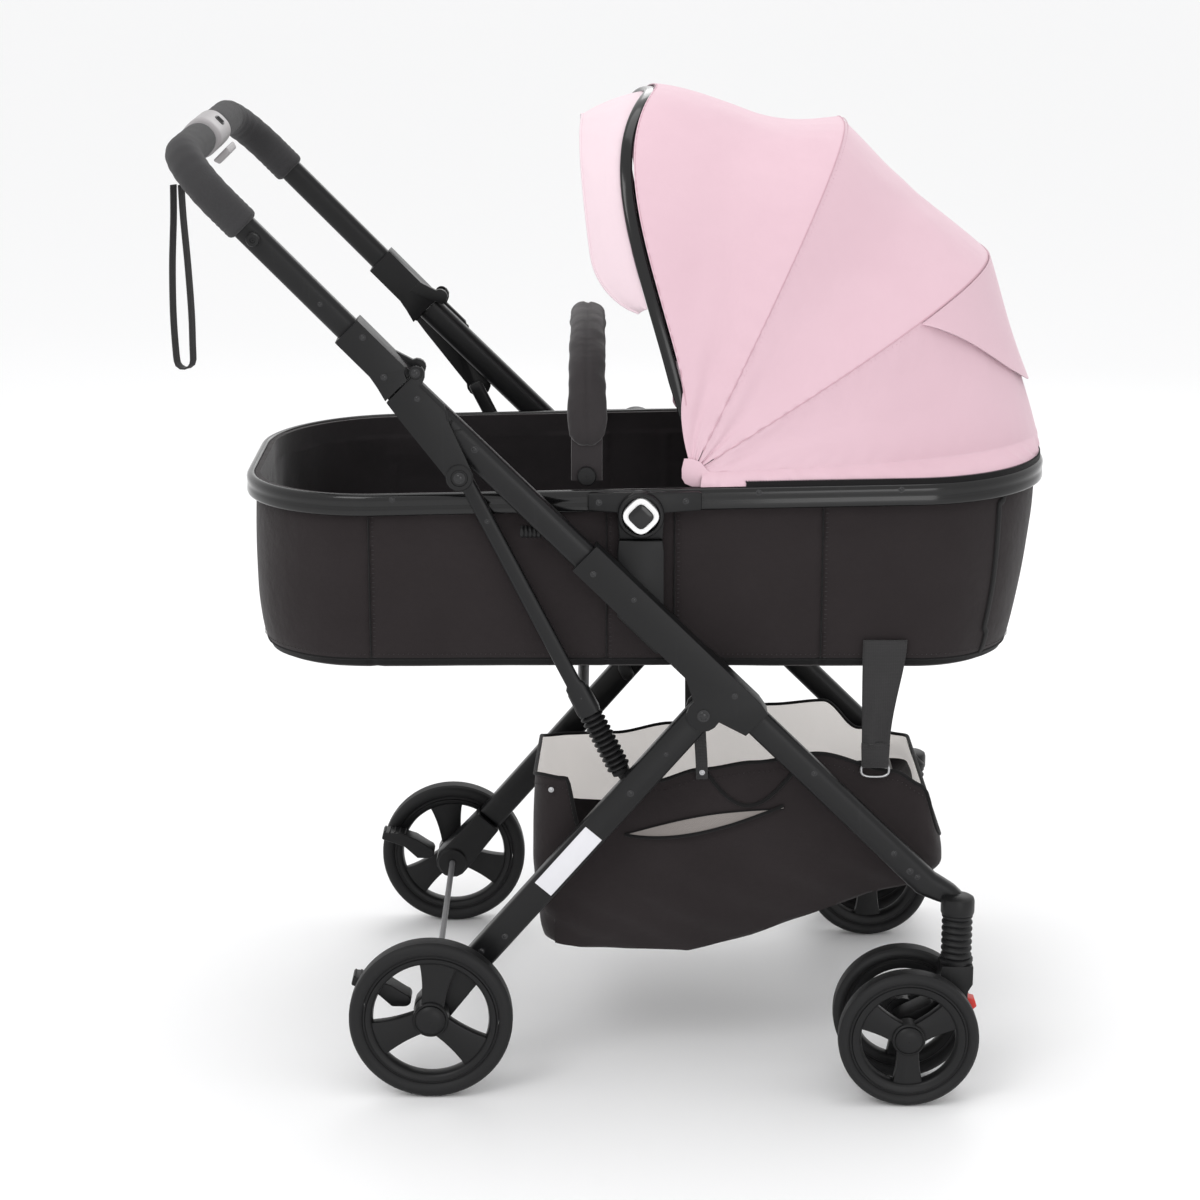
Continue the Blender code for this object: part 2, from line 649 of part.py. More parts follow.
def front_gaiter(tag, side):
    ribs = 6
    bottom, top = GAITER_BOTTOM_Z, TUBE_END_Z - GAP
    sides = 14
    outer, inner = [], []
    for i in range(2 * ribs + 1):
        z = bottom + (top - bottom) * i / (2 * ribs)
        radius = 0.0170 if i % 2 == 0 else 0.0150
        outer.append(oval((SWIVEL_X, side * SWIVEL_Y, z), (1, 0, 0), (0, 1, 0), radius, radius, 2.0, sides))
        inner.append(oval((SWIVEL_X, side * SWIVEL_Y, z), (1, 0, 0), (0, 1, 0), 0.0092, 0.0092, 2.0, sides))
    bm = bmesh.new()
    sleeve(bm, outer, inner)
    add_object(f"front_gaiter_{tag}", bm, "rubber", smooth=20)


def castor_fork(tag, side):
    """Swivelling housing and trailing arm between the twin wheels."""
    outline = [(0.3520, FORK_TOP_Z), (0.3862, FORK_TOP_Z), (0.3862, 0.1280), (0.3810, 0.1190),
               (0.3810, 0.0960), (0.3560, 0.0760)]
    outline += arc(FRONT_AXLE, 0.0150, -60, -250, 8)
    outline += [(0.3420, 0.1060), (0.3500, 0.1200)]
    y = side * SWIVEL_Y
    bm = bmesh.new()
    extrude_xz(bm, outline, y - 0.0165, y + 0.0165)
    fork = add_object(f"castor_fork_{tag}", bm, "plastic", origin=(SWIVEL_X, y, 0), smooth=30)
    axle = bmesh.new()
    cylinder(axle, FRONT_AXLE, 0.0050, y - 0.0243, y + 0.0243, sides=12)
    apply_boolean(fork, add_object("axle", axle, "plastic", origin=(SWIVEL_X, y, 0)), "UNION")


def swivel_lock(tag, side):
    y = side * SWIVEL_Y
    bm = bmesh.new()
    outline = [(0.3814, 0.1090), (0.3900, 0.1070), (0.3925, 0.0990), (0.3880, 0.0950), (0.3814, 0.0965)]
    extrude_xz(bm, outline, y - 0.008, y + 0.008)
    add_object(f"swivel_lock_{tag}", bm, "red")


# ---------------------------------------------------------------- cot

def rim_ring(inset, z):
    return plan_ring(RIM_X[0] + inset, RIM_X[1] - inset, RIM_HALF_Y - inset, RIM_CORNER - inset, z, RIM_TILT)


def cot_rim():
    """Band around the cot with the side hubs that stand on the adapters."""
    low, high = RIM_Z
    band = RIM_BAND
    section = ((0.0, low + 0.002), (0.0, high - 0.004), (0.004, high), (band, high - 0.001), (band, low),
               (0.002, low))
    rings = [rim_ring(inset, z) for inset, z in section]
    bm = bmesh.new()
    skin(bm, rings, closed=True)
    rim = add_object("cot_rim", bm, "gloss_black")
    for side in (RIGHT, LEFT):
        for solid in hub_solids(side):
            apply_boolean(rim, add_object("hub", solid, "plastic"), "UNION")
        hole = bmesh.new()
        cylinder(hole, HUB_CENTRE, 0.0200, *side_span(side, RIM_HALF_Y + 0.001, 0.2400), sides=24)
        apply_boolean(rim, add_object("hole", hole, "plastic"), "DIFFERENCE")


def hub_solids(side):
    """Bar along the rim and the round boss of one hub."""
    outline = [(-0.0300, 0.6430), (0.0030, 0.6400), (0.0040, 0.6130), (0.0480, 0.6130), (0.0490, 0.6400),
               (0.0900, 0.6440), (0.0900, 0.6640), (0.0480, 0.6635), (0.0420, 0.6630), (0.0100, 0.6630),
               (0.0040, 0.6630), (-0.0300, 0.6620)]
    bar = bmesh.new()
    extrude_xz(bar, outline, *side_span(side, RIM_HALF_Y - 0.0031, 0.2240))
    boss = bmesh.new()
    cylinder(boss, HUB_CENTRE, 0.0245, *side_span(side, RIM_HALF_Y - 0.0027, 0.2330), sides=24)
    return bar, boss


def cot_shell():
    """Fabric-covered tub hanging in the rim."""
    inset = RIM_BAND + GAP
    top = (RIM_X[0] + inset, RIM_X[1] - inset, RIM_HALF_Y - inset)
    corner = RIM_CORNER - inset
    levels = [(*top, 0.6630, RIM_TILT, corner), (*top, 0.6380, RIM_TILT, corner),
              (-0.3960, 0.4560, 0.2105, 0.6000, 0.018, 0.135), (-0.3930, 0.4450, 0.2105, 0.5400, 0.010, 0.120),
              (-0.3860, 0.4320, 0.2070, 0.4850, 0.0, 0.110),
              (-0.3720, 0.4170, 0.1930, COT_BOTTOM_Z, 0.0, 0.100)]
    outer, inner = [], []
    for x_low, x_high, half_y, z, tilt, corner in levels:
        outer.append(plan_ring(x_low, x_high, half_y, corner, z, tilt))
        wall = COT_WALL
        inner.append(plan_ring(x_low + wall, x_high - wall, half_y - wall, corner - wall, z, tilt))
    floor = [(x, y, z + COT_WALL) for x, y, z in inner[-1]]
    bm = bmesh.new()
    skin(bm, list(reversed(outer)) + inner[:-1] + [floor])
    shell = add_object("cot_shell", bm, "black_fabric", smooth=50)
    strap = bmesh.new()
    outline = [(0.2640, 0.4950), (0.3110, 0.4950), (0.2960, 0.3850), (0.2960, 0.3500), (0.2640, 0.3500),
               (0.2660, 0.3850)]
    extrude_xz(strap, outline, -0.2105, -0.2065)
    apply_boolean(shell, add_object("strap", strap, "black_fabric"), "UNION")


def mattress():
    bm = bmesh.new()
    skin(bm, [plan_ring(-0.355, 0.400, 0.178, 0.090, z) for z in (0.4740, 0.5020)])
    add_object("mattress", bm, "black_fabric", smooth=50)


def release_button(tag, side):
    cx, cz = HUB_CENTRE
    low, high = side_span(side, 0.2220, 0.2360)
    rings = [oval((cx, y, cz), (math.sqrt(0.5), 0, math.sqrt(0.5)), (-math.sqrt(0.5), 0, math.sqrt(0.5)),
                  0.0165, 0.0165, 3.2, 20) for y in (low, high)]
    bm = bmesh.new()
    skin(bm, rings)
    add_object(f"release_button_{tag}", bm, "white", smooth=40)


CARRY_X, CARRY_PIVOT_Z = -0.0310, 0.6740
CARRY_TOP_Z = 0.8240
CARRY_HALF_Y = 0.1850


def carry_handle():
    """Padded arch over the cot, on narrow webbing ends."""
    stations = [(180, 0.0060, 0.0045), (168, 0.0060, 0.0045), (166, 0.0190, 0.0095), (150, 0.0225, 0.0110),
                (120, 0.0225, 0.0120), (90, 0.0225, 0.0130), (60, 0.0225, 0.0120), (30, 0.0225, 0.0110),
                (14, 0.0190, 0.0095), (12, 0.0060, 0.0045), (0, 0.0060, 0.0045)]
    rings = []
    rise = CARRY_TOP_Z - 0.013 - CARRY_PIVOT_Z + 0.006
    for degrees, half_x, half_t in stations:
        angle = math.radians(degrees)
        c, s = math.cos(angle), math.sin(angle)
        y = CARRY_HALF_Y * math.copysign(abs(c) ** 0.75, c)
        z = CARRY_PIVOT_Z - 0.006 + rise * abs(s) ** 0.75
        normal = Vector((0, c, s * 1.1)).normalized()
        rings.append(oval((CARRY_X, y, z), (1, 0, 0), normal, half_x, half_t, 3.0, 10))
    bm = bmesh.new()
    skin(bm, rings)
    add_object("carry_handle", bm, "black_fabric", origin=(CARRY_X, 0, CARRY_PIVOT_Z), smooth=50)


# ---------------------------------------------------------------- hood

def side_push(degrees, turn):
    """How far the sides of the front bow stand ahead of its middle; it fades out at the middle bow."""
    share = (BOW_ANGLES["middle"] - degrees) / (BOW_ANGLES["middle"] - BOW_ANGLES["front"])
    return SIDE_PUSH * min(1.0, max(0.0, share)) * abs(math.sin(2 * math.radians(turn))) ** 1.4


def bow_point(degrees, turn, radius_share=1.0, inset=0.0):
    """A point of the arch a bow makes, turn from 0 at the right foot to 180 at the left foot."""
    angle = math.radians(turn)
    c, s = math.cos(angle), math.sin(angle)
    y = -(HOOD_HALF_Y - inset) * math.copysign(abs(c) ** 0.72, c)
    r = (HOOD_RADIUS - inset) * radius_share * abs(s) ** 0.80
    lean = math.radians(degrees)
    push = side_push(degrees, turn)
    return Vector((HOOD_AXIS[0] + r * math.sin(lean) - push, y, HOOD_AXIS[1] + r * math.cos(lean)))


def hood_bow(place):
    degrees = BOW_ANGLES[place]
    inset = 0.0040
    lean = math.radians(degrees)
    across = Vector((math.cos(lean), 0, -math.sin(lean)))
    rings = []
    steps = 20
    for i in range(steps + 1):
        turn = 4 + 172 * i / steps
        centre = bow_point(degrees, turn, inset=inset)
        ahead = bow_point(degrees, turn + 0.5, inset=inset) - bow_point(degrees, turn - 0.5, inset=inset)
        outward = ahead.normalized().cross(across)
        reach = math.hypot(centre.x - HOOD_AXIS[0], centre.z - HOOD_AXIS[1])
        half_w = min(BOW_HALF_W, reach * BOW_FOOT_TAPER)
        rings.append(oval(centre, across, outward, half_w, BOW_HALF_T, 3.0, 8))
    bm = bmesh.new()
    skin(bm, rings)
    add_object(f"hood_bow_{place}", bm, "gloss_black" if place == "front" else "frame",
               origin=(HOOD_AXIS[0], 0, HOOD_AXIS[1]), smooth=40)


def clear_of_bow(turn):
    """Angle from a bow's centre plane that leaves its half width clear at this place on the arch."""
    radius = HOOD_RADIUS * abs(math.sin(math.radians(turn))) ** 0.80
    return math.degrees(math.asin(0.0085 / radius))


def hood_panel(name, start, end, finish):
    """Thin curved panel between two bows."""
    rows, columns, thick = 3, 16, 0.0025
    rings = []
    for k in range(rows + 1):
        share = k / rows
        outer, inner = [], []
        for i in range(columns + 1):
            turn = 10 + 160 * i / columns
            margin = clear_of_bow(turn)
            degrees = start + margin + (end - start - 2 * margin) * share
            sag = 0.0005 + 0.020 * math.sin(math.pi * share) * math.sin(math.pi * i / columns)
            outer.append(bow_point(degrees, turn, inset=sag))
            inner.append(bow_point(degrees, turn, inset=sag + thick))
        rings.append(outer + list(reversed(inner)))
    bm = bmesh.new()
    skin(bm, rings)
    add_object(name, bm, finish, smooth=50)


def sun_visor():
    """Peak that stands ahead of the front bow."""
    rows, columns, thick = 2, 16, 0.0020
    outer, inner = [], []
    for k in range(rows + 1):
        share = k / rows
        ring_out, ring_in = [], []
        for i in range(columns + 1):
            turn = VISOR_TURN + (180 - 2 * VISOR_TURN) * i / columns
            radius = HOOD_RADIUS * abs(math.sin(math.radians(turn))) ** 0.80
            taper = math.sin(math.pi * (i + 0.6) / (columns + 1.2)) ** 0.5
            push = 0.9 * side_push(BOW_ANGLES["front"], turn)
            reach = math.degrees((VISOR_REACH - push) / radius) * share * taper
            lean = BOW_ANGLES["front"] - clear_of_bow(turn) - reach
            ring_out.append(bow_point(lean, turn, inset=0.006 + 0.012 * share))
            ring_in.append(bow_point(lean, turn, inset=0.006 + thick + 0.012 * share))
        outer.append(ring_out)
        inner.append(ring_in)
    bm = bmesh.new()
    skin(bm, [a + list(reversed(b)) for a, b in zip(outer, inner)])
    add_object("sun_visor", bm, "pale_pink", smooth=50)


# ---------------------------------------------------------------- build

def build():
    clear_scene()
    for tag, side in SIDES.items():
        main_tube(tag, side)
        fold_bracket(tag, side)
        leg_connector(tag, side)
        cot_adapter(tag, side)
        grip(tag, side)
        handle_sleeve(tag, side)
        rear_leg(tag, side)
        brake_housing(tag, side)
        brake_pedal(tag, side)
        rear_wheel(tag, side)
        front_post(tag, side)
        front_gaiter(tag, side)
        castor_fork(tag, side)
        swivel_lock(tag, side)
        front_wheel(tag, "outer", side, TWIN_OFFSET)
        front_wheel(tag, "inner", side, -TWIN_OFFSET)
        release_button(tag, side)
        strut_foot(tag, side)
        strut_gaiter(tag, side)
    front_cross_tube()
    basket()
    handlebar_tube()
    release_housing()
    release_trigger()
    cup_holder_peg()
    wrist_strap()
    rear_axle()
    strut_frame()
    cot_rim()
    cot_shell()
    mattress()
    carry_handle()
    for place in BOW_ANGLES:
        hood_bow(place)
    hood_panel("hood_panel_front", BOW_ANGLES["front"], BOW_ANGLES["middle"], "pink")
    hood_panel("hood_panel_middle", BOW_ANGLES["middle"], BOW_ANGLES["rear"], "pink")
    hood_panel("hood_panel_rear", BOW_ANGLES["rear"], RIM_ANGLE, "pink")
    sun_visor()


build()
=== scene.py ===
import math

import bmesh
import bpy
import numpy as np
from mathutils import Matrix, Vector, noise


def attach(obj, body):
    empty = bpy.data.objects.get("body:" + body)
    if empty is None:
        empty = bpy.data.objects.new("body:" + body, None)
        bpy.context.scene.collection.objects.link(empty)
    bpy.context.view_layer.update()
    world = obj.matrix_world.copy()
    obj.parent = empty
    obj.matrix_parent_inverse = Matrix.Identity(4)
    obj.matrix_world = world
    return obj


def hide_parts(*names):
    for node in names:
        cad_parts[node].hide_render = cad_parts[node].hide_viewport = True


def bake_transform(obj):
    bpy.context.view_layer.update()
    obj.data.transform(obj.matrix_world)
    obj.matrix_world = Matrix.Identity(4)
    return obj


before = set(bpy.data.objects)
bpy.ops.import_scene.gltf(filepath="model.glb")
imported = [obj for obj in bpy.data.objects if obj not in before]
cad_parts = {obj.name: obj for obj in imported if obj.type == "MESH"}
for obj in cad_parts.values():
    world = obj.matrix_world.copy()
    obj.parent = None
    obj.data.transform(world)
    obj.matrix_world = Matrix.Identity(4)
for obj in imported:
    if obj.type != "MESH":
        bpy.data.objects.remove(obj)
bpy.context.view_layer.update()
scene = bpy.context.scene
sides = {"r": -1, "l": 1}
print("frame loaded")

# ---- camera, floor and light

studio = {"cameraAt": (-0.017, -3.272, 1.367), "tiltDown": 15.06, "lens": 89.4,
          "floorColour": (0.93, 0.93, 0.935),
          "worldColour": (1.0, 1.0, 1.0), "worldStrength": 1.0, "floorHalf": 30, "floorDrop": 0.0005,
          "lamps": (   # name, place, aim, size, power
              ("keyLight", (-1.6, -2.6, 3.2), (0.0, 0.0, 0.6), 1.6, 34),
              ("fillLight", (0.9, -3.4, 0.7), (0.1, 0.0, 0.25), 1.2, 12),
              ("topLight", (0.2, 0.4, 3.4), (0.0, 0.0, 0.4), 1.8, 16),
              ("backLight", (0.6, 3.0, 2.2), (0.0, 0.0, 0.6), 1.6, 14))}


def makeStudio(values):
    lensData = bpy.data.cameras.new("camera")
    lensData.lens = values["lens"]
    lensData.sensor_width = 36
    lensData.clip_end = 200
    camera = bpy.data.objects.new("camera", lensData)
    camera.location = values["cameraAt"]
    camera.rotation_euler = (math.radians(90 - values["tiltDown"]), 0, 0)
    scene.collection.objects.link(camera)
    scene.camera = camera
    for name, place, aim, size, power in values["lamps"]:
        lamp = bpy.data.lights.new(name, "AREA")
        lamp.size = size
        lamp.energy = power
        lampObj = bpy.data.objects.new(name, lamp)
        lampObj.location = place
        lampObj.rotation_euler = (Vector(aim) - Vector(place)).to_track_quat("-Z", "Y").to_euler()
        scene.collection.objects.link(lampObj)
    world = bpy.data.worlds.new("studioWorld")
    world.use_nodes = True
    sky = world.node_tree.nodes["Background"]
    sky.inputs["Color"].default_value = (*values["worldColour"], 1)
    sky.inputs["Strength"].default_value = values["worldStrength"]
    scene.world = world
    scene.view_settings.view_transform = "Standard"
    floorMesh = bpy.data.meshes.new("floor")
    half, drop = values["floorHalf"], values["floorDrop"]
    floorMesh.from_pydata([(-half, -half, -drop), (half, -half, -drop), (half, half, -drop),
                           (-half, half, -drop)],
                          [], [(0, 1, 2, 3)])
    floor = bpy.data.objects.new("floor", floorMesh)
    paint = bpy.data.materials.new("floorPaint")
    paint.use_nodes = True
    shader = paint.node_tree.nodes["Principled BSDF"]
    shader.inputs["Base Color"].default_value = (*values["floorColour"], 1)
    shader.inputs["Roughness"].default_value = 0.6
    floorMesh.materials.append(paint)
    scene.collection.objects.link(floor)


makeStudio(studio)

# ---- shared shader groups: each puts out masks and heights only


def startGroup(name, inputs, outputs):
    tree = bpy.data.node_groups.new(name, "ShaderNodeTree")
    for label, value in inputs:
        socket = tree.interface.new_socket(label, in_out="INPUT", socket_type="NodeSocketFloat")
        socket.default_value = value
    for label in outputs:
        tree.interface.new_socket(label, in_out="OUTPUT", socket_type="NodeSocketFloat")
    return tree, tree.nodes.new("NodeGroupInput"), tree.nodes.new("NodeGroupOutput")


def addMath(tree, operation, first, second=None, clamp=False):
    node = tree.nodes.new("ShaderNodeMath")
    node.operation = operation
    node.use_clamp = clamp
    for socket, value in zip(node.inputs, (first, second)):
        if value is None:
            continue
        if isinstance(value, (int, float)):
            socket.default_value = value
        else:
            tree.links.new(value, socket)
    return node.outputs[0]


def objectAxes(tree):
    coords = tree.nodes.new("ShaderNodeTexCoord")
    split = tree.nodes.new("ShaderNodeSeparateXYZ")
    tree.links.new(coords.outputs["Object"], split.inputs[0])
    return coords.outputs["Object"], split.outputs


def noiseNode(tree, vector, scale, detail=3.0, roughness=0.55):
    node = tree.nodes.new("ShaderNodeTexNoise")
    node.inputs["Detail"].default_value = detail
    node.inputs["Roughness"].default_value = roughness
    if isinstance(scale, (int, float)):
        node.inputs["Scale"].default_value = scale
    else:
        tree.links.new(scale, node.inputs["Scale"])
    tree.links.new(vector, node.inputs["Vector"])
    return node.outputs["Fac"]


def makeWeaveGroup():
    # crossing threads that show on faces of any direction, with a few thicker ones
    tree, groupIn, groupOut = startGroup("weave", [("Threads", 5200.0), ("Slub", 0.35)], ["Height", "Thread"])
    vector, (x, y, z) = objectAxes(tree)
    across = addMath(tree, "ADD", x, addMath(tree, "MULTIPLY", y, 0.62))
    upward = addMath(tree, "ADD", z, addMath(tree, "MULTIPLY", y, 0.55))
    warp = addMath(tree, "SINE", addMath(tree, "MULTIPLY", across, groupIn.outputs["Threads"]))
    weft = addMath(tree, "SINE", addMath(tree, "MULTIPLY", upward, groupIn.outputs["Threads"]))
    cross = addMath(tree, "MULTIPLY", warp, weft)
    slub = noiseNode(tree, vector, 420.0, 2.0)
    rough = addMath(tree, "MULTIPLY", addMath(tree, "SUBTRACT", slub, 0.5), groupIn.outputs["Slub"])
    height = addMath(tree, "ADD", addMath(tree, "MULTIPLY", cross, 0.5), rough)
    tree.links.new(addMath(tree, "ADD", height, 0.5, True), groupOut.inputs["Height"])
    tree.links.new(addMath(tree, "MULTIPLY", addMath(tree, "ADD", cross, 1.0), 0.5, True),
                   groupOut.inputs["Thread"])
    return tree


def makeMottleGroup():
    # slow and fine colour drift, from 0 to 1
    tree, groupIn, groupOut = startGroup("mottle", [("Scale", 9.0), ("Contrast", 1.0)], ["Drift", "Fine"])
    vector = objectAxes(tree)[0]
    slow = noiseNode(tree, vector, groupIn.outputs["Scale"], 4.0, 0.6)
    centred = addMath(tree, "MULTIPLY", addMath(tree, "SUBTRACT", slow, 0.5), groupIn.outputs["Contrast"])
    tree.links.new(addMath(tree, "ADD", centred, 0.5, True), groupOut.inputs["Drift"])
    tree.links.new(noiseNode(tree, vector, 900.0, 2.0), groupOut.inputs["Fine"])
    return tree


def makeGrainGroup():
    # moulded or powder-coated grain, with faint scuffs
    tree, groupIn, groupOut = startGroup("grain", [("Scale", 1600.0), ("Scuffs", 0.4)], ["Height", "Scuff"])
    vector = objectAxes(tree)[0]
    cells = tree.nodes.new("ShaderNodeTexVoronoi")
    tree.links.new(vector, cells.inputs["Vector"])
    tree.links.new(groupIn.outputs["Scale"], cells.inputs["Scale"])
    pebble = addMath(tree, "MULTIPLY", cells.outputs["Distance"], 0.8)
    tree.links.new(addMath(tree, "ADD", pebble, 0.1, True), groupOut.inputs["Height"])
    stretch = tree.nodes.new("ShaderNodeMapping")
    stretch.inputs["Scale"].default_value = (60, 60, 9)
    stretch.inputs["Rotation"].default_value = (0.2, 0.7, 0.4)
    tree.links.new(vector, stretch.inputs["Vector"])
    marks = noiseNode(tree, stretch.outputs["Vector"], 1.0, 4.0, 0.7)
    sharp = addMath(tree, "MULTIPLY", addMath(tree, "SUBTRACT", marks, 0.62), 8.0, True)
    tree.links.new(addMath(tree, "MULTIPLY", sharp, groupIn.outputs["Scuffs"]), groupOut.inputs["Scuff"])
    return tree


def makeDustGroup():
    # light dust on upward faces, broken up by noise
    tree, groupIn, groupOut = startGroup("dust", [("Amount", 0.3)], ["Mask"])
    vector = objectAxes(tree)[0]
    normal = tree.nodes.new("ShaderNodeNewGeometry")
    split = tree.nodes.new("ShaderNodeSeparateXYZ")
    tree.links.new(normal.outputs["Normal"], split.inputs[0])
    facing = addMath(tree, "MULTIPLY", addMath(tree, "SUBTRACT", split.outputs[2], 0.35), 1.4, True)
    patchy = addMath(tree, "MULTIPLY",
                     addMath(tree, "SUBTRACT", noiseNode(tree, vector, 38.0, 5.0, 0.7), 0.36), 2.2, True)
    tree.links.new(addMath(tree, "MULTIPLY", addMath(tree, "MULTIPLY", facing, patchy),
                           groupIn.outputs["Amount"]),
                   groupOut.inputs["Mask"])
    return tree


shaderGroups = {"weave": makeWeaveGroup(), "mottle": makeMottleGroup(), "grain": makeGrainGroup(),
                "dust": makeDustGroup()}


def placeGroup(tree, name, **values):
    node = tree.nodes.new("ShaderNodeGroup")
    node.node_tree = shaderGroups[name]
    for label, value in values.items():
        node.inputs[label].default_value = value
    return node


def mixColour(tree, factor, first, second):
    node = tree.nodes.new("ShaderNodeMix")
    node.data_type = "RGBA"
    tree.links.new(factor, node.inputs["Factor"])
    for socket, value in ((node.inputs[6], first), (node.inputs[7], second)):
        if isinstance(value, tuple):
            socket.default_value = (*value, 1)
        else:
            tree.links.new(value, socket)
    return node.outputs[2]


def addBump(tree, height, depth, below=None):
    bump = tree.nodes.new("ShaderNodeBump")
    bump.inputs["Strength"].default_value = 1.0
    bump.inputs["Distance"].default_value = depth
    tree.links.new(height, bump.inputs["Height"])
    if below is not None:
        tree.links.new(below, bump.inputs["Normal"])
    return bump.outputs["Normal"]


def startMaterial(name, roughness, sheen=0.0, coat=0.0, metallic=0.0, specular=0.5):
    mat = bpy.data.materials.new(name)
    mat.use_nodes = True
    shader = mat.node_tree.nodes["Principled BSDF"]
    shader.inputs["Roughness"].default_value = roughness
    shader.inputs["Metallic"].default_value = metallic
    shader.inputs["Specular IOR Level"].default_value = specular
    shader.inputs["Sheen Weight"].default_value = sheen
    shader.inputs["Sheen Roughness"].default_value = 0.45
    shader.inputs["Coat Weight"].default_value = coat
    shader.inputs["Coat Roughness"].default_value = 0.08
    return mat, mat.node_tree, shader


def clothMaterial(name, dark, light, threads=5200.0, depth=0.00014, slub=0.4, sheen=0.15, roughness=0.85,
                  drift=9.0, wrinkle=0.0006):
    mat, tree, shader = startMaterial(name, roughness, sheen, specular=0.18)
    weave = placeGroup(tree, "weave", Threads=threads, Slub=slub)
    mottle = placeGroup(tree, "mottle", Scale=drift, Contrast=1.3)
    dust = placeGroup(tree, "dust", Amount=0.10)
    base = mixColour(tree, mottle.outputs["Drift"], dark, light)
    shade = tuple(c * 0.72 for c in dark)
    threadMask = addMath(tree, "MULTIPLY", addMath(tree, "SUBTRACT", 1.0, weave.outputs["Thread"]), 0.45)
    base = mixColour(tree, threadMask, base, shade)
    base = mixColour(tree, dust.outputs["Mask"], base, tuple(min(1.0, c * 1.3 + 0.03) for c in light))
    tree.links.new(base, shader.inputs["Base Color"])
    vector = objectAxes(tree)[0]
    soft = addBump(tree, noiseNode(tree, vector, 55.0, 3.0, 0.5), wrinkle)
    tree.links.new(addBump(tree, weave.outputs["Height"], depth, soft), shader.inputs["Normal"])
    return mat


def hardMaterial(name, colour, roughness, grain=1600.0, depth=0.00004, scuffs=0.35, coat=0.0, metallic=0.0,
                 dusty=0.10, specular=0.26):
    mat, tree, shader = startMaterial(name, roughness, 0.0, coat, metallic, specular)
    grainNode = placeGroup(tree, "grain", Scale=grain, Scuffs=scuffs)
    mottle = placeGroup(tree, "mottle", Scale=14.0, Contrast=1.0)
    dust = placeGroup(tree, "dust", Amount=dusty)
    worn = tuple(min(1.0, c * 1.25 + 0.010) for c in colour)
    base = mixColour(tree, mottle.outputs["Drift"], tuple(c * 0.88 for c in colour),
                     tuple(min(1.0, c * 1.12) for c in colour))
    base = mixColour(tree, grainNode.outputs["Scuff"], base, worn)
    base = mixColour(tree, dust.outputs["Mask"], base, tuple(min(1.0, c * 0.9 + 0.035) for c in colour))
    tree.links.new(base, shader.inputs["Base Color"])
    rough = addMath(tree, "ADD", addMath(tree, "MULTIPLY", mottle.outputs["Drift"], 0.12), roughness - 0.06)
    rough = addMath(tree, "ADD", rough, addMath(tree, "MULTIPLY", grainNode.outputs["Scuff"], 0.25), True)
    tree.links.new(rough, shader.inputs["Roughness"])
    tree.links.new(addBump(tree, grainNode.outputs["Height"], depth), shader.inputs["Normal"])
    return mat


def webbingMaterial(name, colour):
    mat, tree, shader = startMaterial(name, 0.75, 0.2)
    x, y, z = objectAxes(tree)[1]
    ribs = addMath(tree, "SINE",
                   addMath(tree, "MULTIPLY", addMath(tree, "ADD", z, addMath(tree, "MULTIPLY", y, 0.6)),
                           3900.0))
    cross = addMath(tree, "SINE", addMath(tree, "MULTIPLY", x, 2600.0))
    height = addMath(tree, "ADD", addMath(tree, "MULTIPLY", ribs, 0.35),
                     addMath(tree, "MULTIPLY", cross, 0.15))
    height = addMath(tree, "ADD", height, 0.5, True)
    mottle = placeGroup(tree, "mottle", Scale=40.0, Contrast=1.2)
    base = mixColour(tree, mottle.outputs["Drift"], tuple(c * 0.8 for c in colour),
                     tuple(c * 1.35 for c in colour))
    tree.links.new(mixColour(tree, height, tuple(c * 0.5 for c in colour), base), shader.inputs["Base Color"])
    tree.links.new(addBump(tree, height, 0.0003), shader.inputs["Normal"])
    return mat


def padMaterial(name, dark, light):
    # dark cloth printed with a fine zigzag of raised dots
    mat, tree, shader = startMaterial(name, 0.85, 0.2)
    x, y = objectAxes(tree)[1][:2]
    zig = addMath(tree, "PINGPONG", x, 0.018)
    row = addMath(tree, "SINE", addMath(tree, "MULTIPLY", addMath(tree, "ADD", y, zig), 520.0))
    dots = addMath(tree, "SINE", addMath(tree, "MULTIPLY", x, 1500.0))
    mark = addMath(tree, "MULTIPLY", addMath(tree, "SUBTRACT", addMath(tree, "MULTIPLY", row, dots), 0.25),
                   2.0, True)
    weave = placeGroup(tree, "weave", Threads=4200.0, Slub=0.4)
    tree.links.new(mixColour(tree, mark, dark, light), shader.inputs["Base Color"])
    below = addBump(tree, weave.outputs["Height"], 0.0001)
    tree.links.new(addBump(tree, mark, 0.0003, below), shader.inputs["Normal"])
    return mat


def foamMaterial(name, colour):
    mat, tree, shader = startMaterial(name, 0.92, 0.1, specular=0.3)
    vector = objectAxes(tree)[0]
    cells = tree.nodes.new("ShaderNodeTexVoronoi")
    cells.inputs["Scale"].default_value = 1400.0
    tree.links.new(vector, cells.inputs["Vector"])
    mottle = placeGroup(tree, "mottle", Scale=30.0, Contrast=1.0)
    pores = addMath(tree, "MULTIPLY", cells.outputs["Distance"], 1.3, True)
    base = mixColour(tree, mottle.outputs["Drift"], tuple(c * 0.85 for c in colour),
                     tuple(c * 1.15 for c in colour))
    tree.links.new(mixColour(tree, pores, tuple(c * 0.6 for c in colour), base), shader.inputs["Base Color"])
    soft = addBump(tree, mottle.outputs["Fine"], 0.0003)
    tree.links.new(addBump(tree, pores, 0.00025, soft), shader.inputs["Normal"])
    return mat


